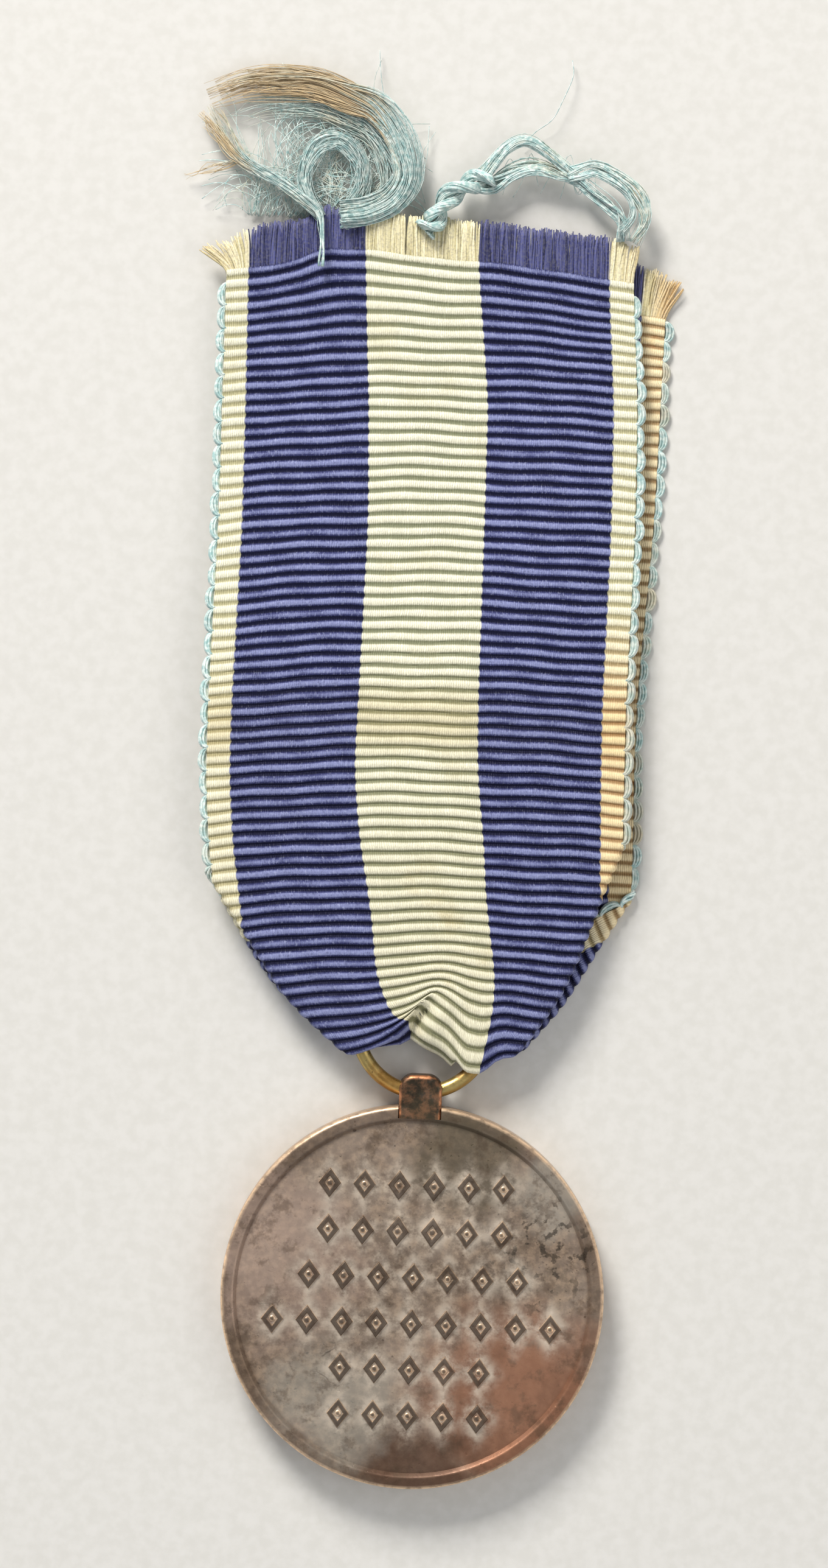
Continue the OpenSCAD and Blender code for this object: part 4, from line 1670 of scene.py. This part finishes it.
@dataclass(frozen=True)
class SilkFinish:
    """The ribbon's ribbed silk: dark and pale stripes, painted highlights on the crests, painted shade in
    the valleys and old stains.
    """

    effects: SharedEffects
    # The crest colours hold painted highlights and the valley colours painted shade on the ribs.
    dark_crest_highlight: Shade = (136, 142, 186)
    dark_middle: Shade = (60, 64, 112)
    dark_valley_shade: Shade = (2, 5, 40)
    dark_soil: Shade = (44, 42, 62)
    # A painted glint on the dark crests.
    speck: Shade = (176, 182, 216)
    pale_crest: Shade = (254, 250, 224)
    # Painted shade in the pale ribs' valleys.
    pale_valley_shade: Shade = (136, 140, 112)
    pale_line: Shade = (128, 124, 92)
    # Painted shade in the edge stripes' valleys, lighter than in the other pale valleys.
    edge_valley_shade: Shade = (190, 184, 144)
    stain: Shade = (186, 165, 105)
    # Painted shade in the stained valleys.
    stain_valley_shade: Shade = (118, 104, 62)
    tan: Shade = (250, 218, 158)
    # Painted shade in the tan valleys.
    tan_valley_shade: Shade = (150, 92, 40)
    yarn_pitch: float = 0.17
    soiled_to: float = 44.0  # height up the strip at which the low end's soil ends
    band_at: float = 29.5  # height of the soiled line across the front
    frayed_dark: tuple[Shade, Shade] = ((22, 25, 72), (92, 96, 150))
    frayed_pale: tuple[Shade, Shade] = ((206, 196, 150), (248, 240, 206))
    frayed_tan: Shade = (212, 172, 112)
    frayed_grey: Shade = (120, 118, 116)

    def soil(self, board: NodeBoard, along: object, patches: object) -> object:
        """Gives how soiled the ribbon is: at its low end, along one line and in patches.

        Args:
            board: The material's board.
            along: The place along the strip.
            patches: The cloudy patches' mask.

        Returns:
            The soil's mask.
        """
        low_end = board.remap(board.math("ABSOLUTE", along), self.soiled_to, 4)
        low_end = board.times(low_end, board.math("ADD", 0.18, board.times(patches, 0.45)))
        from_band = board.math("ABSOLUTE", board.math("SUBTRACT", along, self.band_at))
        band = board.times(board.remap(from_band, 5.0, 0.5), 0.4)
        return board.most(low_end, board.most(band, board.times(patches, 0.16)))

    def colour(self, board: NodeBoard, across: object, along: object, yarns: Node) -> object:
        """Adds the nodes that give the silk's colour, with painted shade in the rib valleys and painted
        highlights on the crests.

        Args:
            board: The material's board.
            across, along: The place on the strip, in millimetres.
            yarns: The fine yarns' group node.

        Returns:
            The colour.
        """
        crest = board.math("MINIMUM", board.attribute("crest"), 1.0)
        masks = board.group(self.effects.stripes, Across=across, Crest=crest).outputs
        glint = yarns.outputs["Glint"]
        low = board.remap(crest, 0.42, 0.84)
        # Painted shade in the dark ribs' valleys, rising to a painted highlight on their crests.
        dark = board.mix(low, linear(self.dark_valley_shade), linear(self.dark_middle))
        dark = board.tint(dark, self.dark_crest_highlight, board.remap(crest, 0.74, 1.0))
        # Painted glints on the dark crests, then painted shade where the glint is low.
        dark = board.tint(dark, self.speck, board.remap(glint, 0.5, 0.74, 0.0, 0.5), low)
        dark = board.tint(dark, self.dark_valley_shade, board.remap(glint, 0.46, 0.3, 0.0, 0.35))
        # Painted shade in the pale valleys, lighter on the edge stripes, up to the stripe's own colour on
        # the crests.
        pale = board.mix(masks["Edge"], linear(self.pale_valley_shade), linear(self.edge_valley_shade))
        pale = board.tint(pale, self.pale_crest, board.remap(crest, 0.42, 0.88))
        lines = board.remap(yarns.outputs["Height"], 0.3, 0.55, 0.5, 0.0)
        pale = board.tint(pale, self.pale_line, lines, board.remap(crest, 0.2, 1.0, 1, 0.5))
        patches = board.group(
            self.effects.mottle, Vector=board.joined(across, along), Scale=0.11, Low=0.5, High=0.68
        ).outputs["Mask"]
        soiled = self.soil(board, along, patches)
        # Stained places, with painted shade in their valleys.
        pale = board.mix(soiled, pale, board.mix(crest, linear(self.stain_valley_shade), linear(self.stain)))
        dark = board.tint(dark, self.dark_soil, soiled, 0.3)
        worn = board.times(board.remap(along, 42, 30, 0.0, 0.65), board.remap(along, 4, 12))
        under = board.times(board.remap(along, -8, -14), board.remap(patches, 0, 1, 0.55, 0.95))
        to_right = board.times(board.remap(across, 0, 10, 0.1, 1.0), board.most(worn, under))
        # Tan places, with painted shade in their valleys.
        tan = board.mix(board.remap(crest, 0.3, 0.95), linear(self.tan_valley_shade), linear(self.tan))
        pale = board.mix(board.times(masks["Edge"], to_right), pale, tan)
        return board.mix(masks["Dark"], pale, dark)

    def make(self) -> bpy.types.Material:
        """Builds the ribbed weave's material.

        Returns:
            The material.
        """
        material, board, shader = new_material(
            "ribbed_silk", Sheen_Weight=0.05, Sheen_Roughness=0.4, Specular_IOR_Level=0.2
        )
        strip = board.group(self.effects.strip).outputs
        across, along = strip["Across"], strip["Along"]
        yarns = board.group(self.effects.yarn, Across=across, Along=along, Pitch=self.yarn_pitch)
        board.feed(shader.inputs["Base Color"], self.colour(board, across, along, yarns))
        board.feed(shader.inputs["Roughness"], board.remap(yarns.outputs["Glint"], 0.35, 0.7, 0.72, 0.48))
        board.feed(shader.inputs["Normal"], board.bump(yarns.outputs["Height"], 0.00006, 0.8))
        return material

    def make_frayed(self) -> bpy.types.Material:
        """Builds the material of the frayed warp ends, in the stripes' colours.

        Returns:
            The material.
        """
        material, board, shader = new_material(
            "frayed_silk", Sheen_Weight=0.2, Sheen_Roughness=0.4, Specular_IOR_Level=0.4
        )
        across = board.group(self.effects.strip).outputs["Across"]
        masks = board.group(self.effects.stripes, Across=across, Crest=0.4)
        tone, warmth = board.attribute("tone"), board.attribute("warmth")
        dark, pale = (board.mix(tone, *map(linear, pair)) for pair in (self.frayed_dark, self.frayed_pale))
        pale = board.tint(pale, self.frayed_tan, board.remap(warmth, 0.1, 0.75))
        colour = board.mix(masks.outputs["Dark"], pale, dark)
        grain = board.noise(board.place(), 5200.0, 2.0)
        colour = board.tint(colour, self.frayed_grey, board.remap(grain, 0.4, 0.7, 0.0, 0.35))
        board.feed(shader.inputs["Base Color"], colour)
        board.feed(shader.inputs["Roughness"], board.remap(grain, 0.35, 0.7, 0.4, 0.65))
        board.feed(shader.inputs["Normal"], board.bump(grain, 0.00003, 0.6))
        return material


@dataclass(frozen=True)
class YarnFinish:
    """Pale silk weft yarn that has turned tan where it lay open, with painted highlight streaks."""

    pale: Shade = (166, 202, 200)
    # A painted highlight on the glossy yarn.
    bright: Shade = (234, 246, 240)
    tan: Shade = (228, 206, 164)
    tan_streak: Shade = (222, 192, 136)
    rust: Shade = (204, 170, 122)
    shaded: Shade = (122, 134, 132)

    def make(self) -> bpy.types.Material:
        """Builds the material.

        Returns:
            The material.
        """
        material, board, shader = new_material(
            "weft_yarn", Sheen_Weight=0.15, Sheen_Roughness=0.35, Specular_IOR_Level=0.55
        )
        tone, warmth = board.attribute("tone"), board.attribute("warmth")
        streak = board.noise(board.place(), 2600.0, 3.0)
        # Painted highlight streaks along the yarn.
        pale = board.mix(board.remap(streak, 0.35, 0.65), linear(self.pale), linear(self.bright))
        warm = board.mix(tone, linear(self.rust), linear(self.tan))
        warm = board.tint(warm, self.tan_streak, board.remap(streak, 0.45, 0.75, 0.0, 0.6))
        patch = board.math("SUBTRACT", board.noise(board.place(), 420.0, 3.0), 0.5)
        turned = board.math("ADD", warmth, board.times(patch, 0.5))
        colour = board.mix(board.remap(turned, 0.15, 0.85), pale, warm)
        colour = board.tint(colour, self.shaded, board.math("SUBTRACT", 1, tone), 0.3)
        board.feed(shader.inputs["Base Color"], colour)
        board.feed(shader.inputs["Roughness"], board.remap(streak, 0.3, 0.7, 0.32, 0.55))
        board.feed(shader.inputs["Normal"], board.bump(streak, 0.00003, 0.5))
        return material


@dataclass(frozen=True)
class PatinaFinish:
    """Old metal: a brown patina with clouds, stains, specks, bright rubbed places and, on the disc, a
    painted highlight along the ornament's sides.
    """

    effects: SharedEffects
    name: str
    base: Shade
    cloud: Shade
    stain: Shade
    rubbed: Shade
    metal: float = 0.7
    roughness: Pair = (0.34, 0.58)
    scale: float = 95.0
    speck: Shade = (34, 27, 21)

    def make(self) -> bpy.types.Material:
        """Builds the material.

        Returns:
            The material.
        """
        material, board, shader = new_material(self.name, Specular_IOR_Level=0.5)
        place = board.place()
        clouds = board.group(self.effects.mottle, Vector=place, Scale=self.scale, Low=0.4, High=0.6)
        stains = board.group(self.effects.mottle, Vector=place, Scale=1.8 * self.scale, Low=0.55, High=0.66)
        stained = stains.outputs["Mask"]
        fine = board.noise(place, 1400.0, 5.0, 0.65)
        specks = board.remap(board.noise(place, 2300.0, 2.0, 0.5), 0.66, 0.74)
        colour = board.mix(clouds.outputs["Mask"], linear(self.base), linear(self.cloud))
        colour = board.tint(colour, self.stain, stained, 0.6)
        colour = board.tint(colour, self.rubbed, board.remap(fine, 0.38, 0.7, 0.0, 0.2))
        colour = board.tint(colour, self.speck, specks, 0.6)
        colour, marks = self.marked(board, place, colour)
        # Rubbed places, and on the disc the painted highlight along the ornament's sides, turn towards the
        # rubbed colour.
        rub_and_highlight = board.times(self.rub_and_highlight(board), board.remap(fine, 0.3, 0.6, 0.35, 1.0))
        colour = board.tint(colour, self.rubbed, rub_and_highlight)
        rough = board.math("ADD", board.remap(fine, 0.3, 0.7, *self.roughness), board.times(rub_and_highlight, -0.12))
        rough = board.math("ADD", rough, board.remap(stained, 0, 1, 0.0, 0.12))
        height = board.math("SUBTRACT", fine, board.math("ADD", board.times(specks, 0.7), marks))
        board.feed(shader.inputs["Base Color"], colour)
        board.feed(shader.inputs["Roughness"], rough)
        board.feed(shader.inputs["Metallic"], board.remap(stained, 0, 1, self.metal, self.metal - 0.3))
        dents = board.bump(board.noise(place, 330.0, 3.0), 0.0002, 0.3)
        board.feed(shader.inputs["Normal"], board.bump(height, 0.00003, 0.5, Normal=dents))
        return material

    def marked(self, board: NodeBoard, place: object, colour: object) -> tuple[object, object]:
        """Gives the colour with any marks that only this metal has, and how deep the marks are."""
        return colour, board.times(board.noise(place, 600.0), 0.1)

    def rub_and_highlight(self, board: NodeBoard) -> object:
        """Gives how much the metal is rubbed, from the number kept on the mesh; on the disc this number also
        holds a painted highlight along the ornament's sides.
        """
        return board.attribute("wear_and_highlight")


@dataclass(frozen=True)
class Patch:
    """A ragged patch on the disc: its middle, its radius and how ragged its border is."""

    x: float
    y: float
    reach: float
    ragged: float

    def mask(self, board: NodeBoard, place: object) -> object:
        """Gives the patch's mask.

        Args:
            board: The material's board.
            place: The place on the object.

        Returns:
            1 well inside the patch and 0 outside it.
        """
        middle = (self.x * MM, self.y * MM, float(DISC_HIGH[2]) * MM)
        away = board.add("ShaderNodeVectorMath", {0: place, 1: middle}, operation="DISTANCE")
        wander = board.math("SUBTRACT", board.noise(place, 260.0, 5.0), 0.5)
        distance = board.math("ADD", away.outputs["Value"], board.times(wander, 4 * self.ragged * MM))
        return board.remap(distance, self.reach * MM, 0.45 * self.reach * MM)


@dataclass(frozen=True)
class Stain:
    """A coloured stain: how strong it is and the patches that it covers."""

    shade: Shade
    share: float
    patches: tuple[Patch, ...]


@dataclass(frozen=True)
class DiscFinish(PatinaFinish):
    """The disc's patina: grey-brown, reddish low on the right, with hairline cracks and pits."""

    rim: Shade = (86, 66, 50)
    stains: tuple[Stain, ...] = (
        Stain((142, 96, 70), 0.85, (Patch(8.5, -8.5, 11, 2.2),)),  # reddish, low on the right
        Stain((186, 160, 144), 0.5, (Patch(-11, 3, 9, 2.5),)),  # pinkish, on the left
        Stain((88, 62, 46), 0.85, (Patch(1, -14.5, 6.5, 2),)),  # dark brown, at the foot
        Stain((78, 70, 50), 0.7, (Patch(4.5, 11.5, 6, 2),)),  # greenish, near the top
        Stain((184, 178, 164), 0.45, (Patch(11.5, 9.5, 4.5, 1.6), Patch(-6, -9, 6.5, 2.4))),  # rubbed pale
    )
    pitted: Patch = Patch(11, 3.5, 6, 2)
    pit: Shade = (40, 34, 26)
    cracked: Patch = Patch(-9, -4, 7, 3)
    crack: Shade = (38, 28, 20)
    grime: Shade = (84, 66, 50)
    halo: Shade = (206, 192, 174)
    ornament: Shade = (66, 50, 37)

    def marked(self, board: NodeBoard, place: object, colour: object) -> tuple[object, object]:
        """Adds the stained patches, pits, cracks, grime and darker ornament.

        Args:
            board: The material's board.
            place: The place on the object.
            colour: The colour so far.

        Returns:
            The colour with its marks, and how deep the marks are.
        """
        out = board.add("ShaderNodeVectorMath", {0: place}, operation="LENGTH").outputs["Value"]
        by_rim = board.remap(out, (DISC_R - 1.4) * MM, (DISC_R - 0.9) * MM, 0.0, 0.5)
        colour = board.tint(colour, self.rim, by_rim)
        for stain in self.stains:
            mask = board.most(*(patch.mask(board, place) for patch in stain.patches))
            colour = board.tint(colour, stain.shade, mask, stain.share)
        pits = board.remap(board.noise(place, 1150.0, 3.0), 0.54, 0.62)
        pits = board.times(pits, self.pitted.mask(board, place))
        colour = board.tint(colour, self.pit, pits, 0.7)
        cracks = board.times(self.hairlines(board, place), self.cracked.mask(board, place))
        colour = board.tint(colour, self.crack, cracks, 0.6)
        grime = board.remap(board.noise(place, 460.0, 6.0, 0.7), 0.5, 0.64, 0.0, 0.5)
        colour = board.tint(colour, self.grime, grime)
        smear = board.remap(board.noise(place, 700.0, 5.0, 0.65), 0.34, 0.62, 0.1, 0.9)
        colour = board.tint(colour, self.halo, board.attribute("halo"), smear)
        tops = board.remap(board.attribute("struck"), 0.6, 0.8, 0.0, 0.85)
        colour = board.tint(colour, self.ornament, tops)
        return colour, board.math("ADD", pits, board.times(cracks, 0.8))

    @staticmethod
    def hairlines(board: NodeBoard, place: object) -> object:
        """Adds hairline cracks in the patina.

        Args:
            board: The material's board.
            place: The place on the object.

        Returns:
            The cracks' mask.
        """
        bend = board.add("ShaderNodeTexNoise", {"Vector": place, "Scale": 400.0}).outputs["Color"]
        bent = {0: bend, 1: (0.0022, 0.0022, 0.0), 2: place}
        vector = board.add("ShaderNodeVectorMath", bent, operation="MULTIPLY_ADD").outputs[0]
        cells = board.add(
            "ShaderNodeTexVoronoi", {"Vector": vector, "Scale": 330.0}, feature="DISTANCE_TO_EDGE"
        )
        line = board.remap(cells.outputs["Distance"], 0.022, 0.004)
        return board.times(line, board.remap(board.noise(place, 240.0, 2.0), 0.5, 0.6))


@dataclass(frozen=True)
class LugFinish(PatinaFinish):
    """The lug's patina, rubbed bright along the block's edges."""

    def rub_and_highlight(self, board: NodeBoard) -> object:
        """Finds the edges from the place on the lug.

        Args:
            board: The material's board.

        Returns:
            How much each place is rubbed.
        """
        split = board.add("ShaderNodeSeparateXYZ", {0: board.place()}).outputs
        half_x, half_z, top = LUG_HIGH[0] * MM, (LUG_HIGH[2] - LUG_LOW[2]) / 2 * MM, LUG_HIGH[1] * MM
        x = board.math("ABSOLUTE", split["X"])
        z = board.math("ABSOLUTE", board.math("SUBTRACT", split["Z"], float(MID_Z * MM)))
        near_x = board.remap(x, half_x - 0.3 * MM, half_x - 0.14 * MM)
        near_z = board.remap(z, half_z - 0.45 * MM, half_z - 0.1 * MM)
        near_top = board.remap(split["Y"], top - 0.4 * MM, top - 0.16 * MM)
        ragged = board.remap(board.noise(board.place(), 1300.0, 3.0), 0.36, 0.56, 0.15, 0.9)
        return board.times(board.most(near_x, near_top), near_z, ragged)


@dataclass(frozen=True)
class PaperFinish:
    """The pale matt table under the medal."""

    colour: Shade = (212, 210, 204)
    grain: Shade = (218, 216, 211)

    def make(self) -> bpy.types.Material:
        """Builds the material.

        Returns:
            The material.
        """
        material, board, shader = new_material("pale_table", Roughness=0.85, Specular_IOR_Level=0.2)
        share = board.remap(board.noise(board.place(), 900.0, 3.0), 0.3, 0.7)
        board.feed(shader.inputs["Base Color"], board.mix(share, linear(self.colour), linear(self.grain)))
        return material


# ---------------------------------------------------------------- the studio


@dataclass
class Studio:
    """Camera, soft lights and a pale table."""

    camera_at: Pair = (-1.62, 42.78)
    camera_turn: float = 2.386  # degrees
    distance: float = 350.0
    shown_height: float = 131.0
    film: float = 36.0
    aim: tuple[float, float, float] = (0, 0.04, 0)  # metres
    sky: Colour = (0.92, 0.95, 1.0)
    sky_strength: float = 0.4

    def build(self) -> None:
        """Sets up everything round the medal."""
        self.camera()
        self.table()
        self.light("key", (-0.31, 0.75, 0.48), 0.3, 10.5, (1.0, 0.97, 0.93))
        self.light("fill", (0.6, 0.0, 0.6), 0.6, 1.6, (1.0, 0.95, 0.88))
        self.light("low", (-0.2, -0.6, 0.6), 0.6, 0.9, (0.95, 0.97, 1.0))
        world = bpy.data.worlds.new("studio")
        bpy.context.scene.world = world
        world.use_nodes = True
        background = world.node_tree.nodes["Background"].inputs
        background["Color"].default_value = (*self.sky, 1)
        background["Strength"].default_value = self.sky_strength
        bpy.context.scene.view_settings.view_transform = "Standard"

    def camera(self) -> None:
        """Hangs the camera over the medal, looking straight down."""
        data = bpy.data.cameras.new("camera")
        data.sensor_fit = "VERTICAL"
        data.sensor_height = data.sensor_width = self.film
        data.lens = self.film * self.distance / self.shown_height
        data.clip_start, data.clip_end = 0.01, 10
        camera = linked("camera", data)
        x, y = self.camera_at
        camera.location = (x * MM, y * MM, (self.distance + 2) * MM)
        camera.rotation_euler = (0, 0, math.radians(self.camera_turn))
        bpy.context.scene.camera = camera

    def table(self) -> None:
        """Lays the table under the medal."""
        bpy.ops.mesh.primitive_plane_add(size=3, location=(0, 0.04, -0.00012))
        table = added_piece()
        table.name = "table"
        table.data.materials.append(PaperFinish().make())

    def light(
        self, name: str, at: tuple[float, float, float], size: float, power: float, colour: Colour
    ) -> None:
        """Adds a soft square light aimed at the medal's middle.

        Args:
            name: The light's name.
            at: Where it hangs, in metres.
            size: Its side, in metres.
            power: Its power, in watts.
            colour: Its colour.
        """
        data = bpy.data.lights.new(name, "AREA")
        data.size, data.energy, data.color = size, power, colour
        lamp = linked(name, data)
        lamp.location = at
        towards = Vector(self.aim) - Vector(at)
        lamp.rotation_euler = towards.to_track_quat("-Z", "Y").to_euler()


# ---------------------------------------------------------------- putting it together


@dataclass
class Ribbon:
    """The whole ribbon: its weave, selvedge loops, frayed ends and loose yarn."""

    silk: bpy.types.Material
    frayed: bpy.types.Material
    yarn: bpy.types.Material
    bend_half: float = 5.5  # half the span round the bend's line; nothing bends by it

    def layers(self) -> list[RibbonLayer]:
        """Gives the two layers with their creases.

        Returns:
            The front layer and the back layer.
        """
        drape = Drape()
        front_folds = (CornerFold((-17.5, 35.9), (-9.35, 20.0)), CornerFold((17.5, 38.8), (8.55, 19.9)))
        back_folds = (CornerFold((-17.5, 34.6), (-9.05, 20.3)), CornerFold((17.5, 34.6), (9.0, 20.3)))
        return [
            RibbonLayer(LayerSide.FRONT, FRONT_SHIFT, FRONT_TOP, front_folds, drape, 3.6, (2.3, 0.5)),
            RibbonLayer(LayerSide.BACK, BACK_SHIFT, BACK_TOP, back_folds, drape, 4.4, (0.4, 1.4)),
        ]

    def bend(self, piece: Piece) -> None:
        """Moves a piece's place into its mesh; the bend's ends along the ribbon are worked out but not used.
        """
        start, end = ((0, (BEND_Y + away) * MM, MID_Z * MM) for away in (self.bend_half, -self.bend_half))
        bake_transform(piece)
        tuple(start)
        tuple(end)

    def build(self, rng: np.random.Generator) -> None:
        """Makes and dresses every piece of the ribbon, and hangs the frayed ends and loose yarn on the upper
        ribbon's body.

        Args:
            rng: The source of small differences.
        """
        layers = self.layers()
        cloth = WovenStrip(layers).build()
        woven = ("front_", "back_", "lower_", "turned_", "fold_")
        nodes = [n for n in frame["nodes"] if n.startswith(woven) and "loops" not in n and "frayed" not in n]
        dress(cloth, self.silk, "navy", *nodes)
        self.bend(cloth)
        for layer in layers:
            for edge in Selvedge:
                loops = SelvedgeLoops(layer, edge, rng).build()
                dress(loops, self.yarn, "weft", f"{layer.side.word}_edge_loops_{edge.word}")
                self.bend(loops)
            ends = FrayedEnd(layer, rng).build()
            dress(ends, self.frayed, "navy", f"{layer.side.word}_frayed_ends")
            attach(ends, "ribbon_upper")
        for make, node in ((make_tangle, "tangled_weft_tuft"), (make_skein, "twisted_weft_skein")):
            piece = make(rng)
            dress(piece, self.yarn, "weft", node)
            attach(piece, "ribbon_upper")


def make_metal(effects: SharedEffects, rng: np.random.Generator) -> None:
    """Makes and dresses the disc, the lug and the ring.

    Args:
        effects: The shared node groups.
        rng: The source of small differences.
    """
    disc_finish = DiscFinish(
        effects, "disc_patina", base=(124, 106, 90), cloud=(160, 142, 126), stain=(88, 74, 58),
        rubbed=(240, 206, 170), metal=0.6, roughness=(0.36, 0.52), scale=80.0,
    )
    lug_finish = LugFinish(
        effects, "lug_patina", base=(52, 45, 34), cloud=(76, 66, 50), stain=(42, 39, 31),
        rubbed=(222, 150, 104), metal=0.65, roughness=(0.36, 0.55), scale=420.0,
    )
    ring_finish = PatinaFinish(
        effects, "ring_brass", base=(168, 128, 68), cloud=(190, 166, 104), stain=(128, 88, 48),
        rubbed=(214, 190, 126), metal=0.9, roughness=(0.26, 0.44), scale=300.0,
    )
    for piece, finish, slot, node, body in (
        (StruckDisc().build(rng), disc_finish, "disc", "medal_disc", "medal"),
        (RingLug().build(), lug_finish, "lug", "suspension_lug", "medal"),
        (JumpRing().build(), ring_finish, "ring", "jump_ring", "ring"),
    ):
        dress(piece, finish.make(), slot, node)
        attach(piece, body)


def main() -> None:
    """Builds the studio, the metal parts and the ribbon."""
    logging.basicConfig(level=logging.INFO, format="%(name)s: %(message)s")
    rng = np.random.default_rng(7)
    effects = SharedEffects()
    Studio().build()
    make_metal(effects, rng)
    silk = SilkFinish(effects)
    Ribbon(silk.make(), silk.make_frayed(), YarnFinish().make()).build(rng)


if __name__ == "__main__":
    main()
